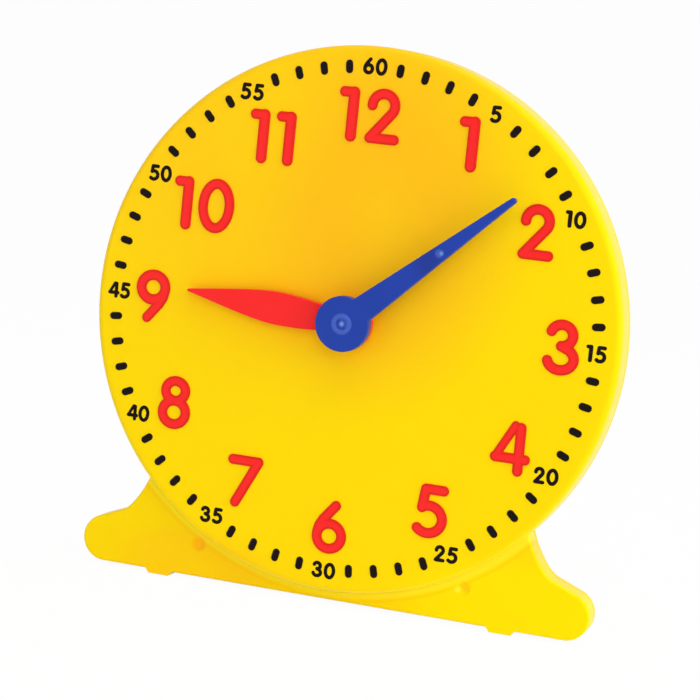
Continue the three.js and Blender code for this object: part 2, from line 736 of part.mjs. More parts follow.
// The stepped shaft of the minute hand: journal, collar, pinion seat, long bearing and hand seat
function minuteArbor() {
  const seatFront = MINUTE_HAND_FRONT + SOCKET_ROOF + SEAT_GAP;
  return joined([
    cylinder(ARBOR_JOURNAL_RADIUS, COLLAR_FRONT, COVER_BACK - SEAM, SHAFT_SIDES),
    cylinder(COLLAR_RADIUS, COLLAR_FRONT, COLLAR_BACK, SHAFT_SIDES),
    prism(
      flattedCircle(ARBOR_JOURNAL_RADIUS, ARBOR_JOURNAL_RADIUS - SEAT_FLAT_DEPTH),
      MINUTE_PLANE_FRONT,
      COLLAR_BACK,
    ),
    cylinder(ARBOR_RADIUS, MINUTE_HAND_BACK + SEAT_GAP, COLLAR_BACK, SHAFT_SIDES),
    prism(
      flattedCircle(ARBOR_SEAT_RADIUS, ARBOR_SEAT_RADIUS - SEAT_FLAT_DEPTH),
      seatFront,
      MINUTE_PLANE_FRONT,
    ),
  ]);
}

// A shallow cone of spring steel that gives the hands their drag
function frictionWasher() {
  const bore = ARBOR_JOURNAL_RADIUS + RUNNING_GAP;
  const [front, back] = [COLLAR_BACK + SEAT_GAP, COLLAR_BACK + SEAT_GAP + WASHER_THICKNESS];
  return turned(
    [
      [bore, front],
      [WASHER_RADIUS, front + WASHER_RISE],
      [WASHER_RADIUS, back + WASHER_RISE],
      [bore, back],
    ],
    SHAFT_SIDES,
  );
}

function idlerPost() {
  const front = CASE_WALL - POST_SOCKET_DEPTH + SEAT_GAP;
  return cylinder(POST_RADIUS, front, COVER_FRONT + POST_SOCKET_DEPTH - SEAT_GAP, SHAFT_SIDES);
}

// The tapered arm and round hub of the minute hand, pointing at twelve
function minuteHand() {
  const arm = new THREE.Shape();
  const tipZ = MINUTE_HAND_LENGTH - MINUTE_TIP_RADIUS;
  arm.moveTo(-MINUTE_HAND_HALF_WIDTH, 0);
  arm.lineTo(MINUTE_HAND_HALF_WIDTH, 0);
  arm.absarc(0, tipZ, MINUTE_TIP_RADIUS, 0, Math.PI, false);
  arm.closePath();
  const pitBack = HUB_RING_FRONT + HUB_PIT_DEPTH;
  const body = joined([
    prism(arm, MINUTE_HAND_FRONT, MINUTE_HAND_FRONT + MINUTE_ARM_THICKNESS),
    cylinder(MINUTE_HUB_RADIUS, MINUTE_HAND_FRONT, MINUTE_HAND_BACK, HUB_SIDES),
    cylinder(HUB_RING_RADIUS, HUB_RING_FRONT, MINUTE_HAND_BACK, SHAFT_SIDES),
  ]);
  const socket = flattedCircle(
    ARBOR_SEAT_RADIUS + SEAT_GAP,
    ARBOR_SEAT_RADIUS - SEAT_FLAT_DEPTH + SEAT_GAP,
  );
  const cleared = cut(body, [
    prism(socket, MINUTE_HAND_FRONT + SOCKET_ROOF, MINUTE_HAND_BACK + OVERRUN),
    cylinder(HUB_PIT_RADIUS, HUB_RING_FRONT - OVERRUN, pitBack, BOSS_SIDES),
    cylinder(
      GATE_MARK_RADIUS,
      MINUTE_HAND_FRONT - OVERRUN,
      MINUTE_HAND_FRONT + GATE_MARK_DEPTH,
      SCREW_SIDES,
      0,
      GATE_MARK_PLACE,
    ),
  ]);
  return cleared.add(
    cylinder(HUB_DOT_RADIUS, pitBack - HUB_DOT_HEIGHT, pitBack + HUB_DOT_HEIGHT, SCREW_SIDES),
  );
}

// The leaf and round hub of the hour hand, pointing at twelve
function hourHand() {
  const [wide, long] = [HOUR_HAND_HALF_WIDTH, HOUR_HAND_LENGTH];
  const at = ([across, along]) => new THREE.Vector2(across * wide, along * long);
  const { root, shoulder, belly, taper, nose, point } = LEAF_SHARES;
  const flare = new THREE.QuadraticBezierCurve(at(root), at(shoulder), at(belly));
  const run = new THREE.CubicBezierCurve(at(belly), at(taper), at(nose), at(point));
  const right = [...flare.getPoints(LEAF_STEPS), ...run.getPoints(LEAF_STEPS).slice(1)];
  const left = right.map((corner) => new THREE.Vector2(-corner.x, corner.y)).reverse();
  const leaf = new THREE.Shape([...right, new THREE.Vector2(0, long), ...left]);
  const bore = flattedCircle(
    PIPE_SEAT_RADIUS + SEAT_GAP,
    PIPE_SEAT_RADIUS - SEAT_FLAT_DEPTH + SEAT_GAP,
  );
  const body = prism(leaf, HOUR_HAND_FRONT, HOUR_HAND_BACK).add(
    cylinder(HOUR_HUB_RADIUS, HOUR_HAND_FRONT, HOUR_HAND_BACK, HUB_SIDES),
  );
  return body.subtract(prism(bore, HOUR_HAND_FRONT - OVERRUN, HOUR_HAND_BACK + OVERRUN));
}

function handSpacer() {
  return ring(ARBOR_RADIUS + RUNNING_GAP, SPACER_RADIUS, SPACER_FRONT, SPACER_BACK, SHAFT_SIDES);
}

// A cross-slotted tapping screw, its head seated at depth zero and its shank running forward
function screw(length) {
  const half = SCREW_SLOT_WIDTH / 2;
  const reach = SCREW_SLOT_HALF_LENGTH;
  const slotFloor = SCREW_HEAD_HEIGHT - SCREW_SLOT_DEPTH;
  const slots = [
    roundedRectangle(-half, -reach, half, reach, half),
    roundedRectangle(-reach, -half, reach, half, half),
  ].map((slot) => prism(slot, slotFloor, SCREW_HEAD_HEIGHT + OVERRUN, SMALL_STEPS));
  const chamfer = SCREW_HEAD_HEIGHT / 4;
  const body = turned(
    [
      [0, -length],
      [SCREW_RADIUS, SCREW_TIP - length],
      [SCREW_RADIUS, 0],
      [SCREW_HEAD_RADIUS, 0],
      [SCREW_HEAD_RADIUS, SCREW_HEAD_HEIGHT - chamfer],
      [SCREW_HEAD_RADIUS - chamfer, SCREW_HEAD_HEIGHT],
      [0, SCREW_HEAD_HEIGHT],
    ],
    SCREW_SIDES,
  );
  return cut(body, slots);
}

function screws(names, places, seat) {
  return places.map(([x, z], i) => {
    const length = seat - innerFaceAt(x, z) - BOSS_FLOOR;
    const mesh = piece(names[i], screw(length), STEEL);
    mesh.position.set(x, seat + SEAM / 2, z);
    return mesh;
  });
}

// A foot: a sole that runs back behind the case, an upright bracket against the cover and a gusset
function rearFoot(side) {
  const x = side * FOOT_X;
  const back = COVER_BACK + SEAM;
  const soleTop = FLOOR_Z + SOLE_HEIGHT;
  const sole = flaredShape(x, FLOOR_Z, SOLE_HALF_WIDTH, soleTop, SOLE_TOP_HALF_WIDTH);
  const inner = side * (FOOT_SCREW_X - BRACKET_MARGIN);
  const outer = side * (FOOT_X + BRACKET_MARGIN);
  const bracket = roundedRectangle(
    Math.min(inner, outer),
    BASE_Z,
    Math.max(inner, outer),
    BASE_Z + BRACKET_HEIGHT,
    BRACKET_CORNER,
  );
  const gusset = new THREE.ExtrudeGeometry(
    new THREE.Shape([
      new THREE.Vector2(back + BRACKET_THICKNESS / 2, BASE_Z + BRACKET_HEIGHT - GUSSET_TOP_DROP),
      new THREE.Vector2(back + BRACKET_THICKNESS / 2, soleTop - SOLE_HEIGHT / 2),
      new THREE.Vector2(FOOT_REACH - GUSSET_END_SETBACK, soleTop - SOLE_HEIGHT / 2),
      new THREE.Vector2(FOOT_REACH - GUSSET_END_SETBACK, soleTop),
      new THREE.Vector2(back + BRACKET_THICKNESS, BASE_Z + BRACKET_HEIGHT - GUSSET_TOP_DROP),
    ]),
    { depth: GUSSET_THICKNESS, bevelEnabled: false },
  );
  const sideways = new THREE.Matrix4().makeBasis(
    new THREE.Vector3(0, 1, 0),
    new THREE.Vector3(0, 0, 1),
    new THREE.Vector3(1, 0, 0),
  );
  gusset.applyMatrix4(sideways);
  gusset.translate(x - GUSSET_THICKNESS / 2, 0, 0);
  const body = joined([
    prism(sole, back, FOOT_REACH),
    prism(bracket, back, back + BRACKET_THICKNESS),
    cylinder(PEG_RADIUS, COVER_BACK - PEG_LENGTH, back + SEAM, BOSS_SIDES, x, FOOT_SCREW_Z),
    solidOf(gusset),
  ]);
  return body.subtract(
    cylinder(
      SCREW_RADIUS + SCREW_HOLE_GAP,
      COVER_BACK,
      back + BRACKET_THICKNESS + OVERRUN,
      SCREW_SIDES,
      side * FOOT_SCREW_X,
      FOOT_SCREW_Z,
    ),
  );
}

// Everything that turns is drawn at twelve o'clock and turned to the time shown, so the gears stay in mesh
function movement() {
  const hours = MINUTES / MINUTES_PER_NUMERAL;
  const minuteTurn = TIME_SHOWN_SHARE * hours * 2 * Math.PI;
  const minuteWork = new THREE.Group();
  minuteWork.add(
    piece("minute_hand", minuteHand(), BLUE),
    piece("minute_arbor", minuteArbor(), WHITE),
    piece("minute_pinion", minutePinion(), WHITE),
  );
  minuteWork.rotation.y = minuteTurn;

  const idlerRatio = MINUTE_PINION_TEETH / IDLER_WHEEL_TEETH;
  const idlerWork = new THREE.Group();
  idlerWork.add(piece("idler_wheel", idlerWheel(), WHITE));
  idlerWork.position.z = -GEAR_DISTANCE;
  idlerWork.rotation.y = -minuteTurn * idlerRatio;

  const hourRatio = idlerRatio * (IDLER_PINION_TEETH / HOUR_WHEEL_TEETH);
  const hourWork = new THREE.Group();
  hourWork.add(
    piece("hour_hand", hourHand(), RED),
    piece("hour_wheel", hourWheel(), WHITE),
    piece("hand_spacer", handSpacer(), WHITE),
  );
  hourWork.rotation.y = minuteTurn * hourRatio;

  const post = piece("idler_post", idlerPost(), STEEL);
  post.position.z = -GEAR_DISTANCE;
  return [minuteWork, idlerWork, hourWork, post, piece("friction_washer", frictionWasher(), STEEL)];
}

function caseAndFeet() {
  const coverScrewNames = coverScrewPlaces().map((_, i) => `cover_screw_${i + 1}`);
  return [
    piece("front_case", frontCase(), YELLOW),
    piece("rear_cover", rearCover(), YELLOW),
    ...numerals(),
    ...screws(coverScrewNames, coverScrewPlaces(), COVER_BACK - COUNTERBORE_DEPTH),
    piece("rear_foot_left", rearFoot(-1), YELLOW),
    piece("rear_foot_right", rearFoot(1), YELLOW),
    ...screws(
      ["foot_screw_left", "foot_screw_right"],
      footScrewPlaces(),
      COVER_BACK + SEAM + BRACKET_THICKNESS,
    ),
  ];
}

// The part's own origin is on the surface that it stands on, in the middle of its box
const clock = new THREE.Group();
clock.add(...caseAndFeet(), ...movement());
clock.position.set(0, -(HUB_RING_FRONT + FOOT_REACH) / 2, -FLOOR_Z);

const part = new THREE.Group();
part.add(clock);

export default part;
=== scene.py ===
"""The looks of a small geared teaching clock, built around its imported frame.

Every piece is worked out in millimetres about the middle of the dial's front face: x runs to the
right of the dial as it is read, y runs back from the face and z runs up. Pieces are placed in the
frame's metres when their meshes are made.
"""

import json
import logging
import math
from collections.abc import Callable, Sequence
from dataclasses import dataclass, replace
from enum import Enum
from typing import ClassVar

import bpy
import numpy as np
from mathutils import Matrix, Vector


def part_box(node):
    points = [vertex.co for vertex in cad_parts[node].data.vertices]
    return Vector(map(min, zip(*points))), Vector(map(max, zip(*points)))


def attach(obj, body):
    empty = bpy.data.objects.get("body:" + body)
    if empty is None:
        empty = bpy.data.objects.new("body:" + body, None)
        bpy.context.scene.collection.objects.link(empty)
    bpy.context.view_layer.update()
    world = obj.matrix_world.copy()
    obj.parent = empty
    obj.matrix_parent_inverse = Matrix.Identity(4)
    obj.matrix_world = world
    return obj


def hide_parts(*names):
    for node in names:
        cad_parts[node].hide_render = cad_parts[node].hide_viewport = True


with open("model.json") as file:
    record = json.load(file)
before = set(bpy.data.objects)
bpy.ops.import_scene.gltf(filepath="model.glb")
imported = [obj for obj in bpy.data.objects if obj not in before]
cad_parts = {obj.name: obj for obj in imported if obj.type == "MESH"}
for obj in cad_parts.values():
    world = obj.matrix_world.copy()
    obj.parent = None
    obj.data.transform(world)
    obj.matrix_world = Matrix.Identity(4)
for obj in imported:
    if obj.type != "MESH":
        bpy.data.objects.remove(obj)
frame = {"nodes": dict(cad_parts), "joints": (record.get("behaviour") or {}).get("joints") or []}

LOG = logging.getLogger("teaching_clock")
MILLIMETRE = 0.001
IMAGE_SIDE = 700

Array = np.ndarray
Colour = tuple[float, float, float, float]
Outline = Callable[[float], Array]
Rows = Sequence[tuple[float, float]]
Node = bpy.types.Node
Socket = bpy.types.NodeSocket
NodeTree = bpy.types.NodeTree
Object = bpy.types.Object
Material = bpy.types.Material
Made = tuple[Object, list[str]]


class Slot(Enum):
    """The record's material slots."""

    YELLOW = "yellow_plastic"
    RED = "red_plastic"
    BLUE = "blue_plastic"
    BLACK = "black_print"
    GEAR = "gear_plastic"
    STEEL = "steel"


class Body(Enum):
    """The rigid bodies of the frame."""

    CASE = "case"
    MINUTE = "minute_work"
    HOUR = "hour_work"


class Combine(Enum):
    """How a tool solid changes the solid that it meets."""

    ADD = "UNION"
    CUT = "DIFFERENCE"
    KEEP = "INTERSECT"


def joint_point(name: str) -> Vector:
    """The point of a joint of the frame.

    Args:
        name: the joint's name in the record.

    Returns:
        The point in the frame's metres.
    """
    joint = next(joint for joint in frame["joints"] if joint["name"] == name)
    return Vector(joint["pos_m"])


DIAL_CENTRE = joint_point("minute_turn")
MINUTES_SHOWN = 548.1
MINUTE_ANGLE = MINUTES_SHOWN * 6.0
HOUR_ANGLE = MINUTES_SHOWN / 2.0
# Distance from the hub to a darker patch on the minute arm, short of the gate mark.
DARK_PATCH_PLACE = 19.8
GATE_PLACE = 22.3
OVERRUN = 1.0


def node_box(node: str) -> tuple[Array, Array]:
    """The box of a node of the frame.

    Args:
        node: the node's name.

    Returns:
        Its lowest and highest corners, in millimetres about the dial's centre.
    """
    low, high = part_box(node)
    return (
        np.array(low - DIAL_CENTRE) / MILLIMETRE,
        np.array(high - DIAL_CENTRE) / MILLIMETRE,
    )


def arc(centre: Sequence[float], radius: float, start: float, end: float, steps: int) -> Array:
    """Points of an arc: the centre plus the radius times the cosine and sine of even angles.

    Args:
        centre: its middle, in x and z.
        radius: its radius.
        start: the angle of its first point, in degrees from x towards z.
        end: the angle of its last point.
        steps: the number of points.

    Returns:
        One point in x and z per row.
    """
    angles = np.radians(np.linspace(start, end, steps))
    return np.array(centre) + radius * np.column_stack((np.cos(angles), np.sin(angles)))


def circle(radius: float, sides: int, centre: Sequence[float] = (0.0, 0.0)) -> Outline:
    """A circle that is drawn in by any inset.

    Args:
        radius: its radius.
        sides: the number of points.
        centre: its middle, in x and z.

    Returns:
        A function from an inset to the circle's points.
    """
    return lambda inset: arc(centre, radius - inset, 0.0, 360.0, sides + 1)[:-1]


def rounded_polygon(corners: Array, radii: Array, steps: int) -> Array:
    """A convex polygon with round corners.

    Each corner's arc has its middle on the corner's bisector, a radius from both edges, and runs
    from one edge's outward normal to the next one's.

    Args:
        corners: the sharp corners, in x and z, anticlockwise.
        radii: the radius of each corner.
        steps: the number of points on each corner.

    Returns:
        One point in x and z per row.
    """
    edges = np.roll(corners, -1, axis=0) - corners
    lengths = np.linalg.norm(edges, axis=1, keepdims=True)
    after = np.column_stack((edges[:, 1], -edges[:, 0])) / lengths
    before = np.roll(after, 1, axis=0)
    mitre = (after + before) / (1 + (after * before).sum(axis=1, keepdims=True))
    centres = corners - radii[:, None] * mitre
    first = np.arctan2(before[:, 1], before[:, 0])
    turn = (np.arctan2(after[:, 1], after[:, 0]) - first) % (2 * math.pi)
    angles = first[:, None] + turn[:, None] * np.linspace(0.0, 1.0, steps)
    rim = np.stack((np.cos(angles), np.sin(angles)), axis=2) * radii[:, None, None]
    return (centres[:, None] + rim).reshape(-1, 2)


def drawn_in(points: Array) -> Outline:
    """An anticlockwise outline that is drawn in by any inset.

    Each point moves along the sum of its two edges' inward normals over one plus their dot
    product, which keeps every edge at the inset from where it was.

    Args:
        points: the outline's points, in x and z.

    Returns:
        A function from an inset to the drawn-in points.
    """
    edges = np.roll(points, -1, axis=0) - points
    lengths = np.linalg.norm(edges, axis=1, keepdims=True)
    after = np.column_stack((-edges[:, 1], edges[:, 0])) / lengths
    before = np.roll(after, 1, axis=0)
    mitre = (after + before) / (1 + (after * before).sum(axis=1, keepdims=True))
    return lambda inset: points + inset * mitre


def edge_rows(
    front: float, back: float, front_round: float, back_round: float, steps: int = 6
) -> Rows:
    """The rows of a slab with round edges, from its front face to its back face.

    A row's inset and depth follow a quarter circle at each end: with an angle from nought to a
    right angle, the inset is the radius times one minus the sine, and the depth the radius times
    one minus the cosine. One more row inside each face keeps that face's shading flat.

    Args:
        front: the depth of the front face.
        back: the depth of the back face.
        front_round: the radius of the front edge.
        back_round: the radius of the back edge.
        steps: the number of rows on each round.

    Returns:
        A depth and an inset per row.
    """
    angles = np.linspace(0.0, math.pi / 2, steps)
    inset = 1 - np.sin(angles)
    lift = 1 - np.cos(angles)
    support = 1.25
    rows = [(front, front_round * support)]
    rows += list(zip(front + front_round * lift, front_round * inset))
    rows += list(zip(back - back_round * lift[::-1], back_round * inset[::-1]))
    rows += [(back, back_round * support)]
    return rows


def swept(outline: Outline, rows: Rows) -> Array:
    """A grid of points: an outline drawn in by each row's inset, at that row's depth.

    Args:
        outline: a function from an inset to points in x and z.
        rows: a depth and an inset per row.

    Returns:
        Points in x, y and z, by row and by place along the outline.
    """
    loops = [outline(inset) for _, inset in rows]
    return np.stack([np.insert(loop, 1, depth, axis=1) for loop, (depth, _) in zip(loops, rows)])


def turned(
    profile: Sequence[tuple[float, float]], sides: int, centre: Sequence[float] = (0.0, 0.0)
) -> Array:
    """A grid of points: a profile turned about a line along y.

    Args:
        profile: a radius and a depth per row.
        sides: the number of points round the line.
        centre: where the line is, in x and z.

    Returns:
        Points in x, y and z, by row and by angle.
    """
    rings = [circle(radius, sides, centre)(0.0) for radius, _ in profile]
    return np.stack([np.insert(ring, 1, depth, axis=1) for ring, (_, depth) in zip(rings, profile)])


def turned_to(points: Array, angle: float) -> Array:
    """A piece drawn pointing at twelve, turned clockwise to its place on the dial.

    Args:
        points: points in x, y and z, in an array of any shape.
        angle: the angle from twelve, in degrees.

    Returns:
        The turned points.
    """
    turn = math.radians(angle)
    x, y, z = points[..., 0], points[..., 1], points[..., 2]
    across = x * math.cos(turn) + z * math.sin(turn)
    return np.stack((across, y, z * math.cos(turn) - x * math.sin(turn)), axis=-1)


class Draft:
    """Closed surfaces, each worked out as arrays, that are collected into one mesh."""

    def __init__(self) -> None:
        """Starts with no surface."""
        self.points: list[Array] = []
        self.faces: list[tuple[int, ...]] = []
        self.depths: list[Array] = []
        self.count = 0

    def add(self, points: Array, quads: Array, caps: Sequence[Array] = ()) -> "Draft":
        """Adds one closed surface, with its faces turned outwards.

        The sum over its triangles of the first corner dotted with the cross product of the other
        two is six times its volume, so where that is negative every face is reversed.

        Args:
            points: x, y and z of each point.
            quads: four point numbers per face.
            caps: the point numbers of each flat face with more corners.

        Returns:
            This draft.
        """
        a, b, c, d = (points[quads[:, corner]] for corner in range(4))
        volume = (a * np.cross(b, c)).sum() + (a * np.cross(c, d)).sum()
        for cap in caps:
            fan = points[cap]
            volume += (fan[0] * np.cross(fan[1:-1], fan[2:])).sum()
        faces = [*quads, *caps] if volume > 0 else [face[::-1] for face in (*quads, *caps)]
        self.faces += [tuple(face + self.count) for face in faces]
        self.points.append(points)
        self.count += len(points)
        return self

    def figure(self, drawn: "Figure", strokes: Sequence["Stroke"]) -> "Draft":
        """Adds a raised figure, with each point's distance inside its outline as an attribute.

        Args:
            drawn: how the figure is drawn.
            strokes: its strokes.

        Returns:
            This draft.
        """
        points, quads, depths = drawn.surface(strokes)
        self.depths.append(depths)
        return self.add(points, quads)

    def grid(self, rows: Array, closed: bool = False) -> "Draft":
        """Adds a surface given as a grid of points whose columns close on themselves.

        Args:
            rows: points in x, y and z, by row and by column.
            closed: true where the last row joins the first, and false where both get a flat face.

        Returns:
            This draft.
        """
        height, width = rows.shape[:2]
        numbers = np.arange(height * width).reshape(height, width)
        below = np.roll(numbers, -1, axis=0) if closed else numbers[1:]
        above = numbers if closed else numbers[:-1]
        right = np.roll(above, -1, axis=1)
        below_right = np.roll(below, -1, axis=1)
        quads = np.stack((above, right, below_right, below), axis=-1).reshape(-1, 4)
        caps = () if closed else (numbers[0][::-1], numbers[-1])
        return self.add(rows.reshape(-1, 3), quads, caps)

    def slab(self, outline: Outline, rows: Rows) -> "Draft":
        """Adds an outline carried from front to back, with the depths and insets of its rows."""
        return self.grid(swept(outline, rows))

    def make(self, name: str, crease: float = 40.0) -> Object:
        """Makes the collected surfaces into an object in the frame's metres.

        Args:
            name: the object's name.
            crease: the angle in degrees past which an edge is shaded sharp.

        Returns:
            The new object, linked to the scene.
        """
        mesh = bpy.data.meshes.new(name)
        points = np.concatenate(self.points) * MILLIMETRE + np.array(DIAL_CENTRE)
        mesh.from_pydata(points.tolist(), [], self.faces)
        if self.depths:
            inside = mesh.attributes.new("inside", "FLOAT", "POINT")
            inside.data.foreach_set("value", np.concatenate(self.depths))
        made = bpy.data.objects.new(name, mesh)
        bpy.context.scene.collection.objects.link(made)
        shade(made, crease)
        return made


def shade(piece: Object, crease: float) -> None:
    """Shades a piece smooth, with the edges past an angle sharp.

    Args:
        piece: the object.
        crease: the angle in degrees.
    """
    piece.data.update()
    piece.data.shade_smooth()
    piece.data.set_sharp_from_angle(angle=math.radians(crease))


def combined(base: Object, how: Combine, tools: Sequence[Object], crease: float = 40.0) -> Object:
    """Changes a solid by others, which are used up.

    Args:
        base: the solid that stays.
        how: whether the tools are added, cut away or kept.
        tools: the solids that change it.
        crease: the angle in degrees past which an edge is shaded sharp.

    Returns:
        The changed solid.
    """
    for tool in tools:
        modifier = base.modifiers.new(tool.name, "BOOLEAN")
        modifier.operation = how.value
        modifier.solver = "MANIFOLD"
        modifier.object = tool
    bpy.context.view_layer.update()
    graph = bpy.context.evaluated_depsgraph_get()
    mesh = bpy.data.meshes.new_from_object(base.evaluated_get(graph))
    base.modifiers.clear()
    base.data = mesh
    shade(base, crease)
    for tool in tools:
        bpy.data.objects.remove(tool)
    return base


@dataclass(frozen=True)
class Stroke:
    """One stroke line of a figure, and its weight as a share of the figure's stroke width."""

    points: Array
    weight: float = 1.0

    def moved(self, shift: Array) -> "Stroke":
        """The stroke carried by a shift in x and z."""
        return Stroke(self.points + shift, self.weight)


@dataclass(frozen=True)
class Figure:
    """A flat figure in strokes of even width that stands proud of the dial with a rounded edge."""

    half_stroke: float
    relief: float
    edge: float
    spacing: float
    sunk: float = 0.03

    def nearest(self, points: Array, strokes: Sequence[Stroke]) -> tuple[Array, Array]:
        """The distance of points from the outline and the place on a stroke line nearest to each.

        A point's place along a segment is its offset dotted with the segment over the segment's
        squared length, held between nought and one. The nearest segment is the one whose own edge
        is nearest.

        Args:
            points: x and z of each point.
            strokes: the strokes.

        Returns:
            The distance outside the outline, and the nearest place on a line.
        """
        start = np.concatenate([stroke.points[:-1] for stroke in strokes])
        run = np.concatenate([np.diff(stroke.points, axis=0) for stroke in strokes])
        weights = [np.full(len(stroke.points) - 1, stroke.weight) for stroke in strokes]
        half = np.concatenate(weights) * self.half_stroke
        offset = points[:, None] - start
        share = np.clip((offset * run).sum(axis=2) / (run * run).sum(axis=1), 0.0, 1.0)
        gap = np.linalg.norm(offset - share[..., None] * run, axis=2) - half
        best = gap.argmin(axis=1)
        every = np.arange(len(points))
        place = start[best] + share[every, best][:, None] * run[best]
        return gap[every, best], place

    def surface(self, strokes: Sequence[Stroke]) -> tuple[Array, Array, Array]:
        """The closed surface of the figure.

        A square grid keeps the cells whose middles are inside the outline, and the corners on its
        border are moved straight to the outline. A point's height is the relief, less the edge
        radius, plus the root of that radius squared less the square of how far the point is past
        the start of the edge.

        Args:
            strokes: the strokes.

        Returns:
            The points in x, y and z, four point numbers per face, and each point's distance inside.
        """
        reach = self.half_stroke * max(stroke.weight for stroke in strokes) + self.spacing
        every = np.concatenate([stroke.points for stroke in strokes])
        low, high = every.min(axis=0) - reach, every.max(axis=0) + reach
        across = np.arange(low[0], high[0] + self.spacing, self.spacing)
        up = np.arange(low[1], high[1] + self.spacing, self.spacing)
        spots = np.stack(np.meshgrid(across, up, indexing="ij"), axis=2)
        middles = (spots[:-1, :-1] + self.spacing / 2).reshape(-1, 2)
        kept = (self.nearest(middles, strokes)[0] < 0).reshape(len(across) - 1, len(up) - 1)
        cells = np.pad(kept.astype(int), 1)
        touching = cells[:-1, :-1] + cells[1:, :-1] + cells[:-1, 1:] + cells[1:, 1:]
        used = touching > 0
        flat = spots[used]
        outside, place = self.nearest(flat, strokes)
        border = touching[used] < 4
        away = flat - place
        away /= np.maximum(np.linalg.norm(away, axis=1, keepdims=True), self.spacing / 100)
        flat = np.where(border[:, None], flat - outside[:, None] * away, flat)
        outside = np.where(border, 0.0, np.minimum(outside, 0.0))
        past = np.maximum(outside + self.edge, 0.0)
        height = self.relief - self.edge + np.sqrt(np.maximum(self.edge**2 - past**2, 0.0))
        top = np.insert(flat, 1, -height, axis=1)
        bottom = np.insert(flat, 1, self.sunk, axis=1)
        number = np.full(used.shape, -1)
        number[used] = np.arange(len(flat))
        i, k = np.nonzero(kept)
        corners = (number[i, k], number[i + 1, k], number[i + 1, k + 1], number[i, k + 1])
        face = np.stack(corners, axis=1)
        edges = np.concatenate([face[:, [corner, (corner + 1) % 4]] for corner in range(4)])
        forward = edges[:, 0] * len(flat) + edges[:, 1]
        backward = edges[:, 1] * len(flat) + edges[:, 0]
        rim = edges[~np.isin(forward, backward)]
        walls = np.column_stack((rim[:, ::-1], rim + len(flat)))
        faces = np.concatenate((face, face[:, ::-1] + len(flat), walls))
        return np.concatenate((top, bottom)), faces, np.tile(-outside, 2)


# The middle line of each digit's strokes, as shares of that line's height, from its lower left
# corner. A stroke begins with its weight. An item of two is a point, and one of six an arc: its
# middle, its radii and its angles in degrees.
DIGIT_SHARES: dict[int, tuple] = {
    0: ((1.0, (0.321, 0.507, 0.322, 0.507, 0, 360)),),
    1: ((1.0, (0, 0.975), (0.229, 0.975)), (1.1, (0.229, 0.975), (0.229, 0))),
    2: ((1.0, (0.265, 0.737, 0.264, 0.262, 182, -39), (0.003, 0)), (1.0, (0.003, 0), (0.575, 0))),
    3: (
        (1.0, (0.268, 0.766, 0.25, 0.235, 162, -88)),
        (1.0, (0.277, 0.531), (0.288, 0.25, 0.298, 0.25, 60, -165)),
    ),
    4: (
        (1.0, (0, 0.271), (0.682, 0.271)),
        (1.0, (0.526, 0.972), (0.539, 0)),
        (0.84, (0.397, 1.015), (0, 0.271)),
    ),
    5: (
        (1.0, (0.122, 0.998), (0.54, 0.998)),
        (1.0, (0.122, 0.998), (0.071, 0.569)),
        (1.0, (0.235, 0.313, 0.329, 0.313, 109, -136)),
    ),
    6: (
        (1.0, (0.293, 0.287, 0.294, 0.288, 0, 360)),
        (1.0, (0.391, 1.004), (0.12, 0.664), (0.035, 0.51), (0.003, 0.36)),
    ),
    7: ((1.0, (0, 0.987), (0.631, 0.987)), (1.0, (0.631, 0.987), (0.143, 0))),
    8: (
        (1.0, (0.286, 0.274, 0.287, 0.274, 0, 360)),
        (1.0, (0.281, 0.779, 0.245, 0.229, 0, 360)),
    ),
    9: (
        (1.05, (0.296, 0.713, 0.297, 0.287, 0, 360)),
        (1.0, (0.198, 0), (0.47, 0.34), (0.56, 0.5), (0.592, 0.65)),
    ),
}

# The middle of each minute numeral, right of the dial's centre and above it, and its digits' pitch
MINUTE_NUMERALS: dict[int, tuple[float, float, float]] = {
    5: (22.96, 40.04, 0.0),
    10: (39.06, 23.24, 2.1),
    15: (45.43, 0.25, 2.1),
    20: (39.21, -22.54, 2.37),
    25: (22.63, -39.45, 2.35),
    30: (-0.16, -46.07, 2.4),
    35: (-23.02, -39.31, 2.4),
    40: (-39.56, -22.3, 2.29),
    45: (-45.6, 0.26, 2.25),
    50: (-39.56, 22.87, 2.35),
    55: (-23.01, 39.59, 2.44),
    60: (-0.14, 46.32, 2.4),
}


def line_points(x: float, z: float, *sizes: float, steps: int = 64) -> Array:
    """The points of one item of a stroke: one point, or an ellipse's arc at evenly spaced angles.

    Args:
        x: the point, or the arc's middle.
        z: its height.
        sizes: for an arc, its two radii and its first and last angle.
        steps: the number of points on an arc.

    Returns:
        One point in x and z per row.
    """
    if not sizes:
        return np.array([(x, z)])
    across, up, start, end = sizes
    angles = np.radians(np.linspace(start, end, steps))
    return np.column_stack((x + across * np.cos(angles), z + up * np.sin(angles)))


def digit_strokes(digit: int, height: float) -> list[Stroke]:
    """The strokes of a digit.

    Args:
        digit: from 0 to 9.
        height: the height of its middle lines.

    Returns:
        Each stroke, in x and z, from the digit's lower left corner.
    """
    return [
        Stroke(np.concatenate([line_points(*item) for item in items]) * height, weight)
        for weight, *items in DIGIT_SHARES[digit]
    ]


def placed_digit(
    digit: int, figure: Figure, height: float, middle: Sequence[float]
) -> list[Stroke]:
    """The strokes of a digit whose box has its middle at a place.

    Args:
        digit: from 0 to 9.
        figure: how the digit is drawn.
        height: the height of the whole digit.
        middle: the place, in x and z.

    Returns:
        Each stroke, in x and z.
    """
    strokes = digit_strokes(digit, height - 2 * figure.half_stroke)
    every = np.concatenate([stroke.points for stroke in strokes])
    shift = np.array(middle) - (every.min(axis=0) + every.max(axis=0)) / 2
    return [stroke.moved(shift) for stroke in strokes]


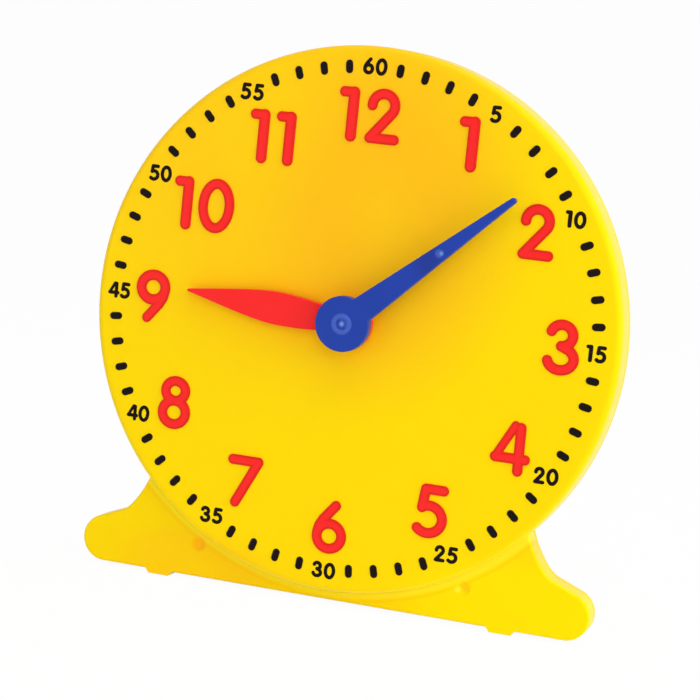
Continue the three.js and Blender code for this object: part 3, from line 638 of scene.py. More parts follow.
class NodeGraph:
    """Short calls for placing and joining shader nodes in one tree."""

    def __init__(self, tree: NodeTree) -> None:
        """Takes the tree that the nodes go into."""
        self.tree = tree

    def node(self, kind: str, **settings: object) -> Node:
        """A new node with its settings.

        Args:
            kind: the node's type, without its leading ShaderNode.
            settings: the values of its properties.

        Returns:
            The node.
        """
        made = self.tree.nodes.new("ShaderNode" + kind)
        for name, value in settings.items():
            setattr(made, name, value)
        return made

    def feed(self, socket: Socket, value: object) -> None:
        """Gives an input a value, or joins it to an output.

        Args:
            socket: the input.
            value: a number, a colour or an output.
        """
        if isinstance(value, bpy.types.NodeSocket):
            self.tree.links.new(value, socket)
        else:
            socket.default_value = value

    def result(self, kind: str, values: Sequence[object], **settings: object) -> Socket:
        """The first output of a new node whose first inputs have values.

        Args:
            kind: the node's type, without its leading ShaderNode.
            values: a value or an output for each of its first inputs.
            settings: the values of its properties.

        Returns:
            The output.
        """
        node = self.node(kind, **settings)
        for socket, value in zip(node.inputs, values):
            self.feed(socket, value)
        return node.outputs[0]

    def sum(self, kind: str, *values: object) -> Socket:
        """The result of a Math node of some kind."""
        return self.result("Math", values, operation=kind)

    def vector(self, kind: str, *values: object) -> Socket:
        """The result of a Vector Math node of some kind."""
        return self.result("VectorMath", values, operation=kind)

    def ramp(self, *values: object) -> Socket:
        """A value carried smoothly from one range to another, from the value and both ranges."""
        return self.result("MapRange", values, interpolation_type="SMOOTHSTEP")

    def noise(self, vector: Socket, scale: object, detail: float) -> Socket:
        """A cloudy pattern between nought and one.

        Args:
            vector: the place in the pattern.
            scale: the number of clouds in a metre.
            detail: how many finer patterns are laid over it.

        Returns:
            The pattern's value.
        """
        node = self.node("TexNoise", noise_dimensions="3D")
        for name, value in (("Vector", vector), ("Scale", scale), ("Detail", detail)):
            self.feed(node.inputs[name], value)
        return node.outputs["Fac"]

    def blend(self, share: object, a: object, b: object) -> Socket:
        """A colour between two.

        Args:
            share: how much of the second colour.
            a: the first colour.
            b: the second colour.

        Returns:
            The mixed colour.
        """
        node = self.node("Mix", data_type="RGBA")
        for place, value in ((0, share), (6, a), (7, b)):
            self.feed(node.inputs[place], value)
        return node.outputs[2]

    def group(self, tree: NodeTree, values: dict[str, object]) -> bpy.types.bpy_prop_collection:
        """Places a node group.

        Args:
            tree: the group.
            values: a value or an output for each of its inputs that is given one.

        Returns:
            The placed group's outputs.
        """
        node = self.node("Group", node_tree=tree)
        for name, value in values.items():
            self.feed(node.inputs[name], value)
        return node.outputs


def linear(red: int, green: int, blue: int) -> Colour:
    """The linear colour of a screen colour, by the sRGB curve.

    Args:
        red: from 0 to 255, as are the other two.
        green: the second channel.
        blue: the third channel.

    Returns:
        The three linear channels and a full alpha.
    """
    channels = np.array((red, green, blue)) / 255
    lit = np.where(channels <= 0.04045, channels / 12.92, ((channels + 0.055) / 1.055) ** 2.4)
    return (*map(float, lit), 1.0)


@dataclass(frozen=True)
class GroupSocket:
    """One input or output of a shader node group."""

    name: str
    kind: str
    start: object = None


def new_group(
    name: str, inputs: Sequence[GroupSocket], outputs: Sequence[GroupSocket]
) -> NodeTree:
    """An empty shader node group with its inputs and outputs.

    Args:
        name: the group's name.
        inputs: its inputs, in order.
        outputs: its outputs, in order.

    Returns:
        The group, holding one input node and one output node.
    """
    tree = bpy.data.node_groups.new(name, "ShaderNodeTree")
    for direction, sockets in (("INPUT", inputs), ("OUTPUT", outputs)):
        for socket in sockets:
            kind = "NodeSocket" + socket.kind
            made = tree.interface.new_socket(socket.name, in_out=direction, socket_type=kind)
            if socket.start is not None:
                made.default_value = socket.start
    tree.nodes.new("NodeGroupInput")
    tree.nodes.new("NodeGroupOutput")
    return tree


class Groups:
    """The effects that several finishes share, each a node group that is built once."""

    def __init__(self) -> None:
        """Builds every group."""
        self.moulding = self._moulding()
        self.spot = self._spot()
        self.scuffs = self._scuffs()

    @staticmethod
    def _moulding() -> NodeTree:
        """Cloudy colour and gloss with a fine moulded grain.

        Returns:
            A group from a place, two colours and the pattern's sizes to a colour, a roughness and
            a height.
        """
        tree = new_group(
            "moulded_surface",
            (
                GroupSocket("Vector", "Vector"),
                GroupSocket("Colour", "Color"),
                GroupSocket("Cloud colour", "Color"),
                GroupSocket("Cloud scale", "Float", 60.0),
                GroupSocket("Cloud amount", "Float", 0.5),
                GroupSocket("Grain scale", "Float", 4000.0),
                GroupSocket("Roughness", "Float", 0.35),
                GroupSocket("Roughness spread", "Float", 0.08),
            ),
            (
                GroupSocket("Colour", "Color"),
                GroupSocket("Roughness", "Float"),
                GroupSocket("Height", "Float"),
            ),
        )
        graph = NodeGraph(tree)
        given = tree.nodes["Group Input"].outputs
        result = tree.nodes["Group Output"].inputs
        cloud = graph.ramp(graph.noise(given["Vector"], given["Cloud scale"], 3.0), 0.3, 0.7)
        share = graph.sum("MULTIPLY", cloud, given["Cloud amount"])
        graph.feed(result["Colour"], graph.blend(share, given["Colour"], given["Cloud colour"]))
        film = graph.noise(given["Vector"], graph.sum("MULTIPLY", given["Cloud scale"], 3.0), 4.0)
        swing = graph.sum("MULTIPLY", graph.sum("SUBTRACT", film, 0.5), given["Roughness spread"])
        graph.feed(result["Roughness"], graph.sum("ADD", given["Roughness"], swing))
        grain = graph.noise(given["Vector"], given["Grain scale"], 3.0)
        wave = graph.noise(given["Vector"], graph.sum("MULTIPLY", given["Cloud scale"], 2.0), 1.0)
        graph.feed(result["Height"], graph.sum("MULTIPLY_ADD", wave, 2.0, grain))
        return tree

    @staticmethod
    def _spot() -> NodeTree:
        """A soft band about a line along y, round or drawn out along z.

        Returns:
            A group from a place, a middle, a shape, two radii and a softness to a mask that is one
            inside.
        """
        tree = new_group(
            "round_band",
            (
                GroupSocket("Vector", "Vector"),
                GroupSocket("Middle", "Vector"),
                GroupSocket("Shape", "Vector", (1.0, 0.0, 1.0)),
                GroupSocket("Inner radius", "Float", 0.0),
                GroupSocket("Outer radius", "Float", 0.001),
                GroupSocket("Softness", "Float", 0.0001),
            ),
            (GroupSocket("Mask", "Float"),),
        )
        graph = NodeGraph(tree)
        given = tree.nodes["Group Input"].outputs
        offset = graph.vector("SUBTRACT", given["Vector"], given["Middle"])
        length = graph.node("VectorMath", operation="LENGTH")
        graph.feed(length.inputs[0], graph.vector("MULTIPLY", offset, given["Shape"]))
        rise, fall = (
            graph.ramp(
                length.outputs["Value"],
                graph.sum("SUBTRACT", given[edge], given["Softness"]),
                graph.sum("ADD", given[edge], given["Softness"]),
                *ends,
            )
            for edge, ends in (("Inner radius", (0.0, 1.0)), ("Outer radius", (1.0, 0.0)))
        )
        graph.feed(tree.nodes["Group Output"].inputs["Mask"], graph.sum("MULTIPLY", rise, fall))
        return tree

    @staticmethod
    def _scuffs() -> NodeTree:
        """Fine scratches where stretched cells meet, broken up by a cloudy pattern.

        Returns:
            A group from a place, a scale and an amount to a mask.
        """
        tree = new_group(
            "fine_scuffs",
            (
                GroupSocket("Vector", "Vector"),
                GroupSocket("Scale", "Float", 150.0),
                GroupSocket("Amount", "Float", 0.3),
            ),
            (GroupSocket("Mask", "Float"),),
        )
        graph = NodeGraph(tree)
        given = tree.nodes["Group Input"].outputs
        stretch = graph.node("Mapping")
        stretch.inputs["Rotation"].default_value = (0.0, 0.6, 0.0)
        stretch.inputs["Scale"].default_value = (1.0, 1.0, 0.18)
        graph.feed(stretch.inputs["Vector"], given["Vector"])
        cells = graph.node("TexVoronoi", feature="DISTANCE_TO_EDGE")
        graph.feed(cells.inputs["Vector"], stretch.outputs["Vector"])
        graph.feed(cells.inputs["Scale"], given["Scale"])
        line = graph.ramp(cells.outputs["Distance"], 0.0, 0.02, 1.0, 0.0)
        patch = graph.ramp(graph.noise(given["Vector"], given["Scale"], 2.0), 0.55, 0.7)
        broken = graph.sum("MULTIPLY", line, patch)
        mask = graph.sum("MULTIPLY", broken, given["Amount"])
        graph.feed(tree.nodes["Group Output"].inputs["Mask"], mask)
        return tree


@dataclass(frozen=True)
class Band:
    """A band of another colour, such as the painted highlight on a moulded ring or the painted
    shade on the middle of a dial.

    Its middle is in x and z, and its tallness is how many times higher than wide it is.
    """

    colour: Colour
    middle: tuple[float, float]
    tallness: float
    inner: float
    outer: float
    softness: float
    amount: float

    def mask(self, graph: NodeGraph, groups: Groups, place: Socket) -> Socket:
        """The mask of the band.

        Args:
            graph: the material's nodes.
            groups: the shared node groups.
            place: the place on the piece.

        Returns:
            A value from nought to the band's amount.
        """
        middle = DIAL_CENTRE + Vector((self.middle[0], 0.0, self.middle[1])) * MILLIMETRE
        values = {
            "Vector": place,
            "Middle": tuple(middle),
            "Shape": (1.0, 0.0, 1.0 / self.tallness),
            "Inner radius": self.inner * MILLIMETRE,
            "Outer radius": self.outer * MILLIMETRE,
            "Softness": self.softness * MILLIMETRE,
        }
        return graph.sum("MULTIPLY", graph.group(groups.spot, values)["Mask"], self.amount)


def bands(*rows: tuple) -> tuple[Band, ...]:
    """Bands from a table.

    Args:
        rows: each band's screen colour, middle, tallness, inner and outer radius, softness and
            amount.

    Returns:
        The bands, from the lowest to the one on top.
    """
    return tuple(Band(linear(*colour), *sizes) for colour, *sizes in rows)


@dataclass(frozen=True)
class Finish:
    """A moulded, printed or plated surface, with two colours that cloud into each other."""

    name: str
    colour: Colour
    cloud_colour: Colour
    roughness: float
    cloud_scale: float = 60.0
    cloud_amount: float = 0.5
    roughness_spread: float = 0.08
    grain_depth: float = 0.004
    grain_scale: float = 2600.0
    scuff_amount: float = 0.3
    scuff_roughness: float = 0.3
    metallic: float = 0.0
    specular: float = 0.3
    tint: Colour = (1.0, 1.0, 1.0, 1.0)
    bands: tuple[Band, ...] = ()
    # Painted shade along a raised figure's rounded edge: its colour and how far in it reaches.
    outline_colour: Colour | None = None
    outline_width: float = 0.7

    def material(self, groups: Groups) -> Material:
        """Builds the finish as a material.

        Args:
            groups: the shared node groups.

        Returns:
            The material.
        """
        made = bpy.data.materials.new(self.name)
        made.use_nodes = True
        graph = NodeGraph(made.node_tree)
        place = graph.node("TexCoord").outputs["Object"]
        values = {
            "Vector": place,
            "Colour": self.colour,
            "Cloud colour": self.cloud_colour,
            "Cloud scale": self.cloud_scale,
            "Cloud amount": self.cloud_amount,
            "Grain scale": self.grain_scale,
            "Roughness": self.roughness,
            "Roughness spread": self.roughness_spread,
        }
        surface = graph.group(groups.moulding, values)
        roughness = surface["Roughness"]
        if self.scuff_amount:
            scuffs = graph.group(groups.scuffs, {"Vector": place, "Amount": self.scuff_amount})
            roughness = graph.sum("MULTIPLY_ADD", scuffs["Mask"], self.scuff_roughness, roughness)
        bump = graph.node("Bump")
        bump.inputs["Distance"].default_value = self.grain_depth * MILLIMETRE
        graph.feed(bump.inputs["Height"], surface["Height"])
        shader = made.node_tree.nodes["Principled BSDF"]
        for name, value in (
            ("Base Color", self._banded(graph, groups, place, surface["Colour"])),
            ("Roughness", roughness),
            ("Normal", bump.outputs["Normal"]),
            ("Metallic", self.metallic),
            ("Specular IOR Level", self.specular),
            ("Specular Tint", self.tint),
        ):
            graph.feed(shader.inputs[name], value)
        return made

    def _banded(self, graph: NodeGraph, groups: Groups, place: Socket, colour: Socket) -> Socket:
        """The colour under the finish's bands and its painted edge shade.

        The painted edge shade covers where a raised figure's distance inside its edge is small.

        Args:
            graph: the material's nodes.
            groups: the shared node groups.
            place: the place on the piece.
            colour: the clouded colour.

        Returns:
            The finished colour.
        """
        for band in self.bands:
            colour = graph.blend(band.mask(graph, groups, place), colour, band.colour)
        # Painted shade along a raised figure's rounded edge.
        if self.outline_colour:
            inside = graph.node("Attribute", attribute_name="inside").outputs["Fac"]
            outer = graph.ramp(inside, 0.0, self.outline_width, 1.0, 0.0)
            raised = graph.sum("GREATER_THAN", inside, 0.0)
            colour = graph.blend(graph.sum("MULTIPLY", outer, raised), colour, self.outline_colour)
        return colour


class Palette:
    """Every finish of the clock, by material slot."""

    def __init__(self) -> None:
        """Builds the shared groups, each slot's material and one more for the yellow behind."""
        finishes = {
            Slot.YELLOW: self.yellow(),
            Slot.RED: self.red(),
            Slot.BLUE: self.blue(),
            Slot.BLACK: self.black(),
            Slot.GEAR: Finish("gear_moulding", linear(240, 238, 230), linear(230, 226, 214), 0.5),
            Slot.STEEL: self.steel(),
        }
        behind = replace(finishes[Slot.YELLOW], name="yellow_moulding_behind", bands=())
        groups = Groups()
        self.materials = {slot: finish.material(groups) for slot, finish in finishes.items()}
        self.behind = behind.material(groups)

    @staticmethod
    def yellow() -> Finish:
        """The yellow of the case, with painted light and shade laid on it in bands.

        The rows are the painted shade on the dial's upper left and on its upper middle, the painted
        shade on the stand's left end and the painted light on its right end, the painted highlight
        and the painted shadow line on the stand round the dial, the painted shade in the left
        dimple, and the painted shade and the painted highlight in the right dimple.

        Returns:
            The finish.
        """
        (left, low), (right, _) = CaseOutline().foot_screw_places()
        return Finish(
            "yellow_moulding",
            linear(255, 219, 8),
            linear(255, 223, 6),
            roughness=0.34,
            cloud_amount=0.4,
            tint=(1.0, 0.7, 0.08, 1.0),
            # Bands of painted shade, painted light, a painted highlight and a painted shadow line,
            # as listed above.
            bands=bands(
                ((255, 203, 24), (-14.0, 32.0), 1.0, 0.0, 38.0, 22.0, 0.9),
                ((254, 188, 28), (4.0, 20.0), 1.35, 0.0, 20.0, 10.0, 0.75),
                ((255, 198, 22), (-26.0, -50.0), 0.45, 0.0, 15.0, 6.0, 0.5),
                ((255, 229, 3), (36.0, -50.0), 0.5, 0.0, 20.0, 6.0, 0.85),
                ((255, 236, 44), (0.0, 0.6), 1.0, 50.15, 51.7, 0.5, 0.8),
                ((250, 192, 14), (0.0, 0.6), 1.0, 52.1, 52.5, 0.4, 0.4),
                ((254, 180, 20), (left, low), 1.0, 0.0, 1.2, 0.6, 0.75),
                ((254, 200, 10), (right + 0.5, low + 0.4), 1.0, 0.0, 0.9, 0.5, 0.6),
                ((255, 242, 70), (right - 1.0, low - 0.3), 1.0, 0.0, 0.5, 0.4, 0.7),
            ),
        )

    @staticmethod
    def red() -> Finish:
        """The red of the hour numerals and the hour hand, with painted shade along a numeral's
        rounded edge.

        Returns:
            The finish.
        """
        return Finish(
            "red_moulding",
            linear(252, 40, 42),
            linear(246, 34, 38),
            roughness=0.32,
            tint=(1.0, 0.45, 0.35, 1.0),
            # Painted shade along each numeral's rounded edge.
            outline_colour=linear(214, 36, 8),
        )

    @staticmethod
    def blue() -> Finish:
        """The blue of the minute hand.

        The rows are a darker patch on the arm short of the gate mark, the painted highlight on the
        hub's end and on its moulded ring, the painted glint on its dot, and the painted highlight
        on the gate mark with the painted glint at its side.

        Returns:
            The finish.
        """
        # Colour of the painted highlights on the hub's ring and on the gate mark.
        highlight_blue = (92, 122, 214)
        hub = (0.0, 0.0)
        # sunk is the middle of a darker patch on the arm; gate is the gate mark's middle.
        sunk, gate = (
            tuple(turned_to(np.array((0.0, 0.0, reach)), MINUTE_ANGLE)[[0, 2]])
            for reach in (DARK_PATCH_PLACE, GATE_PLACE)
        )
        return Finish(
            "blue_moulding",
            linear(36, 66, 168),
            linear(32, 59, 156),
            roughness=0.3,
            tint=(0.35, 0.45, 1.0, 1.0),
            # A darker patch on the arm, then painted highlights and painted glints on the hub and
            # the gate mark.
            bands=bands(
                ((36, 46, 118), sunk, 1.0, 0.0, 1.6, 2.2, 0.75),
                (highlight_blue, hub, 1.0, 0.0, 1.9, 0.2, 0.22),
                (highlight_blue, hub, 1.0, 1.05, 1.9, 0.25, 0.3),
                ((125, 165, 238), hub, 1.0, 0.0, 0.45, 0.2, 0.8),
                (highlight_blue, gate, 1.0, 0.0, 0.75, 0.25, 0.45),
                ((120, 165, 235), (gate[0] + 0.35, gate[1] + 0.05), 1.0, 0.0, 0.3, 0.25, 0.9),
            ),
        )

    @staticmethod
    def black() -> Finish:
        """The dull print of the minute marks and their numerals.

        Returns:
            The finish.
        """
        return Finish(
            "black_print",
            linear(22, 13, 14),
            linear(32, 20, 20),
            roughness=0.45,
            scuff_amount=0.5,
            specular=0.06,
        )

    @staticmethod
    def steel() -> Finish:
        """Zinc-plated steel with a finer grain and a more uneven gloss than the plastics.

        Returns:
            The finish.
        """
        return Finish(
            "plated_steel",
            linear(200, 203, 207),
            linear(176, 178, 182),
            roughness=0.3,
            cloud_scale=400.0,
            roughness_spread=0.25,
            grain_depth=0.002,
            grain_scale=9000.0,
            scuff_amount=0.0,
            metallic=1.0,
            specular=0.5,
        )

    def dress(self, piece: Object, slot: Slot, behind: bool = False) -> None:
        """Gives a piece one finish all over.

        Args:
            piece: the object.
            slot: the finish's slot.
            behind: true for a yellow piece behind the dial, which goes without the dial's bands of
            painted light and shade.
        """
        piece.data.materials.clear()
        piece.data.materials.append(self.behind if behind else self.materials[slot])


class Part:
    """A part of the clock: pieces of one finish that move with one body."""

    body: ClassVar[Body] = Body.CASE
    slot: ClassVar[Slot] = Slot.YELLOW
    behind: ClassVar[bool] = False

    def pieces(self) -> list[Made]:
        """Makes the part's pieces.

        Returns:
            Each piece, with the nodes that it stands for.
        """
        raise NotImplementedError

    def build(self, palette: Palette) -> None:
        """Makes, dresses and reports every piece of the part, and puts it on its body.

        Args:
            palette: the finishes.
        """
        for piece, nodes in self.pieces():
            palette.dress(piece, self.slot, self.behind)
            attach(piece, self.body.value)
            if nodes:
                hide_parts(*nodes)
            faces = len(piece.data.polygons)
            LOG.info("made %s on %s with %d faces", piece.name, self.body.value, faces)


@dataclass(frozen=True)
class CaseOutline:
    """The outline that the front case and the rear cover share: a disc on a lobed stand."""

    radius: float = float(node_box("front_case")[1][0])
    below_dial: float = 2.0
    inside_dial: float = 0.5
    lobe_radius: float = 4.4
    lobe_slope: float = 22.0
    slope_length: float = 4.7
    bend_radius: float = 5.0
    bend_turn: float = 27.5
    sweep_radius: float = 19.0
    wall: float = 1.6
    boss_below_rim: float = 7.0
    screw_inside_lobe: float = 19.25
    screw_above_base: float = 6.3
    screw_hole_radius: float = 1.15
    bracket_margin: float = 3.9
    sides: int = 360

    @property
    def foot_middle(self) -> float:
        """How far each foot's middle is from the clock's own."""
        return float(node_box("rear_foot_right")[1][0]) - self.bracket_margin

    @property
    def base(self) -> float:
        """The height of the stand's base line."""
        return -(self.radius + self.below_dial)

    @property
    def lobe(self) -> tuple[float, float]:
        """The middle of the right lobe."""
        return self.radius - self.inside_dial - self.lobe_radius, self.base + self.lobe_radius

    def disc(self, inset: float) -> Array:
        """The disc's points, drawn in by an inset."""
        return circle(self.radius, self.sides)(inset)

    def stand(self, inset: float) -> Array:
        """The stand's points, drawn in by an inset.

        The right half is the lobe's arc, from straight down to the slope's normal, then the
        bend's arc, whose middle lies past the lobe along that normal and up the slope, and the
        sweep's arc, which goes on from the bend. The left half is its mirror image. An inset
        shrinks the lobe and widens the two hollows.

        Args:
            inset: how far in from the outline.

        Returns:
            One point in x and z per row, anticlockwise.
        """
        lean = 90.0 - self.lobe_slope
        bend_end = lean - self.bend_turn
        across, outward = arc((0.0, 0.0), 1.0, lean, bend_end, 2)
        along = np.array((-across[1], across[0]))
        reach = self.lobe_radius + self.bend_radius
        bend = self.lobe + across * reach + along * self.slope_length
        sweep = bend + outward * (self.sweep_radius - self.bend_radius)
        right = np.concatenate(
            (
                arc(self.lobe, self.lobe_radius - inset, -90.0, lean, 40),
                arc(bend, self.bend_radius + inset, lean + 180.0, bend_end + 180.0, 12)[:-1],
                arc(sweep, self.sweep_radius + inset, bend_end + 180.0, 180.0, 30),
            )
        )
        left = right[::-1] * (-1, 1)
        return np.concatenate((right, left))

    def boss_places(self) -> list[tuple[float, float]]:
        """The middles of the bosses of the cover screws."""
        corners = arc((0.0, 0.0), self.radius - self.boss_below_rim, 45.0, -225.0, 4)
        return [*map(tuple, corners), (-self.lobe[0], self.lobe[1]), self.lobe]

    def foot_screw_places(self) -> list[tuple[float, float]]:
        """The middles of the bosses of the foot screws, left and right."""
        across, up = self.lobe[0] - self.screw_inside_lobe, self.base + self.screw_above_base
        return [(-across, up), (across, up)]


def flared(
    middle: float, bottom: tuple[float, float], top: tuple[float, float], radii: Sequence[float]
) -> Outline:
    """A block's section whose width changes evenly from its bottom to its top, with round corners.

    Args:
        middle: where its middle is, in x.
        bottom: the height and the half width of its bottom.
        top: the height and the half width of its top.
        radii: the radius of each corner, anticlockwise from the lower left.

    Returns:
        A function from an inset to the section's points.
    """
    (low, low_half), (high, high_half) = bottom, top
    corners = np.array(
        (
            (middle - low_half, low),
            (middle + low_half, low),
            (middle + high_half, high),
            (middle - high_half, high),
        )
    )
    return drawn_in(rounded_polygon(corners, np.array(radii), 6))


@dataclass
class FrontCase(Part):
    """The yellow moulding of the dial and its stand."""

    outline: CaseOutline
    depth: float = float(node_box("front_case")[1][1])
    edge_round: float = 1.3
    setback: float = 2.3
    stand_round: float = 0.5
    fillet: float = 0.35
    seam_chamfer: float = 0.12
    inner_chamfer: float = 0.5
    bore: float = 3.35
    boss_radius: float = 2.7
    pilot_radius: float = 1.05
    dimple_radius: float = 1.35
    dimple_depth: float = 0.5
    pad_half_width: float = 2.0
    pad_top_half_width: float = 3.3
    pad_corners: tuple[float, ...] = (0.15, 0.15, 0.05, 0.05)

    def shell(self) -> Object:
        """The disc and the stand as one shell, open at the back.

        Returns:
            The shell's object.
        """
        lines = self.outline
        rows = edge_rows(0.0, self.depth, self.edge_round, self.seam_chamfer, 9)
        disc = Draft().slab(lines.disc, rows)
        rows = edge_rows(self.setback, self.depth, self.stand_round, self.seam_chamfer)
        stand = Draft().slab(lines.stand, rows)
        past = self.depth + OVERRUN
        room = Draft().slab(
            lambda inset: lines.disc(lines.wall + inset),
            [
                (lines.wall, self.inner_chamfer),
                (lines.wall + self.inner_chamfer, 0.0),
                (past, 0.0),
            ],
        )
        stand_room = Draft().slab(
            lambda inset: lines.stand(lines.wall + inset),
            [(self.setback + lines.wall, 0.0), (past, 0.0)],
        )
        shell = disc.make("front_case_shell")
        combined(shell, Combine.ADD, [stand.make("stand"), self.rim_fillet(), self.pads()])
        return combined(shell, Combine.CUT, [room.make("room"), stand_room.make("stand_room")])

    def pads(self) -> Object:
        """The two small blocks under the stand, which widen upwards into its lower wall.

        Returns:
            The object that holds both.
        """
        floor = float(node_box("front_case")[0][2])
        top = self.outline.base + self.outline.wall / 2
        draft = Draft()
        for side in (-1, 1):
            outline = flared(
                side * self.outline.foot_middle,
                (floor, self.pad_half_width),
                (top, self.pad_top_half_width),
                self.pad_corners,
            )
            draft.slab(outline, edge_rows(self.setback, self.depth, 0.12, 0.1, 4))
        return draft.make("pads")

    def rim_fillet(self) -> Object:
        """The hollow fillet where the stand's front meets the dial's rim.

        Its section is the corner between the two less a circle that touches both.

        Returns:
            The fillet's object, only where it lies on the stand.
        """
        reach, radius = self.fillet, self.outline.radius
        hollow = arc((radius + reach, self.setback - reach), reach, 180.0, 90.0, 7)
        corners = ((radius - reach, self.setback + reach), (radius - reach, self.setback - reach))
        section = [*map(tuple, hollow), *corners]
        fillet = Draft().grid(turned(section, self.outline.sides), closed=True).make("fillet")
        keep = Draft().slab(
            lambda inset: self.outline.stand(self.stand_round + inset),
            [(self.setback - OVERRUN, 0.0), (self.setback + 0.5, 0.0)],
        )
        return combined(fillet, Combine.KEEP, [keep.make("fillet_reach")])

    def pieces(self) -> list[Made]:
        """Makes the moulding.

        Returns:
            Each piece, with the nodes that it stands for.
        """
        shell = self.shell()
        places = [*self.outline.boss_places(), *self.outline.foot_screw_places()]
        bosses, pilots, dimples = Draft(), Draft(), Draft()
        for x, z in places:
            on_dial = math.hypot(x, z) < self.outline.radius
            floor = self.outline.wall + (0.0 if on_dial else self.setback)
            rows = [(floor - 0.5, 0.0), (self.depth - 0.1, 0.0), (self.depth, 0.1)]
            bosses.slab(circle(self.boss_radius, 48, (x, z)), rows)
            rows = [(floor, 0.0), (self.depth + OVERRUN, 0.0)]
            pilots.slab(circle(self.pilot_radius, 32, (x, z)), rows)
        dish = np.linspace(0.0, 0.9, 7)
        fall = self.setback + self.dimple_depth * (1 - (1 - dish) ** 2)
        rows = [(self.setback - OVERRUN, 0.0), *zip(fall, self.dimple_radius * dish)]
        for place in self.outline.foot_screw_places():
            dimples.slab(circle(self.dimple_radius, 48, place), rows)
        combined(shell, Combine.ADD, [bosses.make("bosses")])
        bore = Draft().slab(
            circle(self.bore, 96),
            [(-OVERRUN, -0.3), (0.0, -0.2), (0.2, 0.0), (self.outline.wall + OVERRUN, 0.0)],
        )
        cuts = [pilots.make("pilots"), dimples.make("dimples"), bore.make("bore")]
        combined(shell, Combine.CUT, cuts, 30.0)
        return [(shell, ["front_case"])]


@dataclass
class RearCover(Part):
    """The yellow cover that closes the case."""

    behind = True

    outline: CaseOutline
    back: float = float(node_box("rear_cover")[1][1])
    edge_round: float = 0.6
    counterbore_radius: float = 2.1
    counterbore_depth: float = 0.9
    bore: float = 2.35
    thickness: float = 1.7

    def pieces(self) -> list[Made]:
        """Makes the cover.

        Returns:
            Each piece, with the nodes that it stands for.
        """
        front = self.back - self.thickness
        rows = edge_rows(front, self.back, 0.12, self.edge_round)
        cover = Draft().slab(self.outline.disc, rows).make("rear_cover_plate")
        combined(cover, Combine.ADD, [Draft().slab(self.outline.stand, rows).make("cover_stand")])
        holes = Draft()
        for place in self.outline.boss_places():
            bottom = self.back - self.counterbore_depth
            holes.slab(
                circle(self.counterbore_radius, 48, place),
                [(bottom, 0.0), (self.back - 0.15, 0.0), (self.back + OVERRUN, -0.6)],
            )
        shafts = Draft()
        for place in [*self.outline.boss_places(), *self.outline.foot_screw_places()]:
            rows = [(front - OVERRUN, 0.0), (self.back + 0.5, 0.0)]
            shafts.slab(circle(self.outline.screw_hole_radius, 32, place), rows)
        rows = [(front - OVERRUN, 0.0), (self.back - 0.2, 0.0), (self.back + OVERRUN, -0.8)]
        shafts.slab(circle(self.bore, 64), rows)
        combined(cover, Combine.CUT, [holes.make("counterbores"), shafts.make("shafts")], 30.0)
        return [(cover, ["rear_cover"])]


@dataclass
class RearFeet(Part):
    """The two yellow feet that run back behind the case."""

    behind = True

    outline: CaseOutline
    half_width: float = 2.1
    top_half_width: float = 2.5
    height: float = 2.6
    bracket: float = 2.0
    bracket_height: float = 11.0
    bracket_corner: float = 3.0
    gusset: float = 2.0
    gusset_short: float = 3.0
    gusset_sunk: float = 0.5
    gusset_below: float = 1.0
    edge_round: float = 0.3

    def foot(self, name: str, side: int) -> Object:
        """Makes one foot.

        Args:
            name: the node that it stands for.
            side: minus one on the left and one on the right.

        Returns:
            The foot's object.
        """
        low, high = node_box(name)
        floor, reach = low[2], high[1]
        base, margin = self.outline.base, self.outline.bracket_margin
        screw_x, screw_z = self.outline.foot_screw_places()[1]
        middle = side * self.outline.foot_middle
        back = node_box("rear_cover")[1][1] + 0.1
        sole = flared(
            middle,
            (floor, self.half_width),
            (floor + self.height, self.top_half_width),
            (0.45, 0.45, 0.45, 0.45),
        )
        inner, outer = screw_x - margin, self.outline.foot_middle + margin
        left, right = sorted((side * inner, side * outer))
        top = base + self.bracket_height
        plate = np.array(((left, base), (right, base), (right, top), (left, top)))
        radii = np.full(4, self.bracket_corner)
        body = Draft().slab(sole, edge_rows(back, reach, 0.1, self.edge_round, 5))
        bracket = Draft().slab(
            drawn_in(rounded_polygon(plate, radii, 16)),
            edge_rows(back, back + self.bracket, 0.1, self.edge_round, 5),
        )
        web = self.web(middle, back, base, floor, reach)
        foot = body.make(name + "_moulding")
        combined(foot, Combine.ADD, [bracket.make("bracket"), web.make("web")])
        hole = Draft().slab(
            circle(self.outline.screw_hole_radius, 32, (side * screw_x, screw_z)),
            [(back - OVERRUN, 0.0), (back + self.bracket + OVERRUN, 0.0)],
        )
        return combined(foot, Combine.CUT, [hole.make("screw_hole")], 30.0)

    def web(self, middle: float, back: float, base: float, floor: float, reach: float) -> Draft:
        """The gusset between the bracket and the sole, drawn in y and z and carried across x.

        Args:
            middle: where its middle is, in x.
            back: the depth of the bracket's front face.
            base: the height of the bracket's lower edge.
            floor: the height that the sole stands on.
            reach: the depth of the sole's end.

        Returns:
            The gusset's surface.
        """
        start, end = back + self.gusset_sunk, reach - self.gusset_short
        low, top = floor + self.height / 2, base + self.bracket_height - self.gusset_below
        corners = np.array(
            (
                (start, low),
                (end, low),
                (end, floor + self.height),
                (back + self.bracket, top),
                (start, top),
            )
        )
        outline = drawn_in(rounded_polygon(corners, np.full(5, 0.25), 4))
        half = self.gusset / 2
        rows = swept(outline, edge_rows(middle - half, middle + half, 0.2, 0.2, 4))
        return Draft().grid(rows[..., [1, 0, 2]])

    def pieces(self) -> list[Made]:
        """Makes both feet.

        Returns:
            Each piece, with the nodes that it stands for.
        """
        sides = {"rear_foot_left": -1, "rear_foot_right": 1}
        return [(self.foot(name, side), [name]) for name, side in sides.items()]


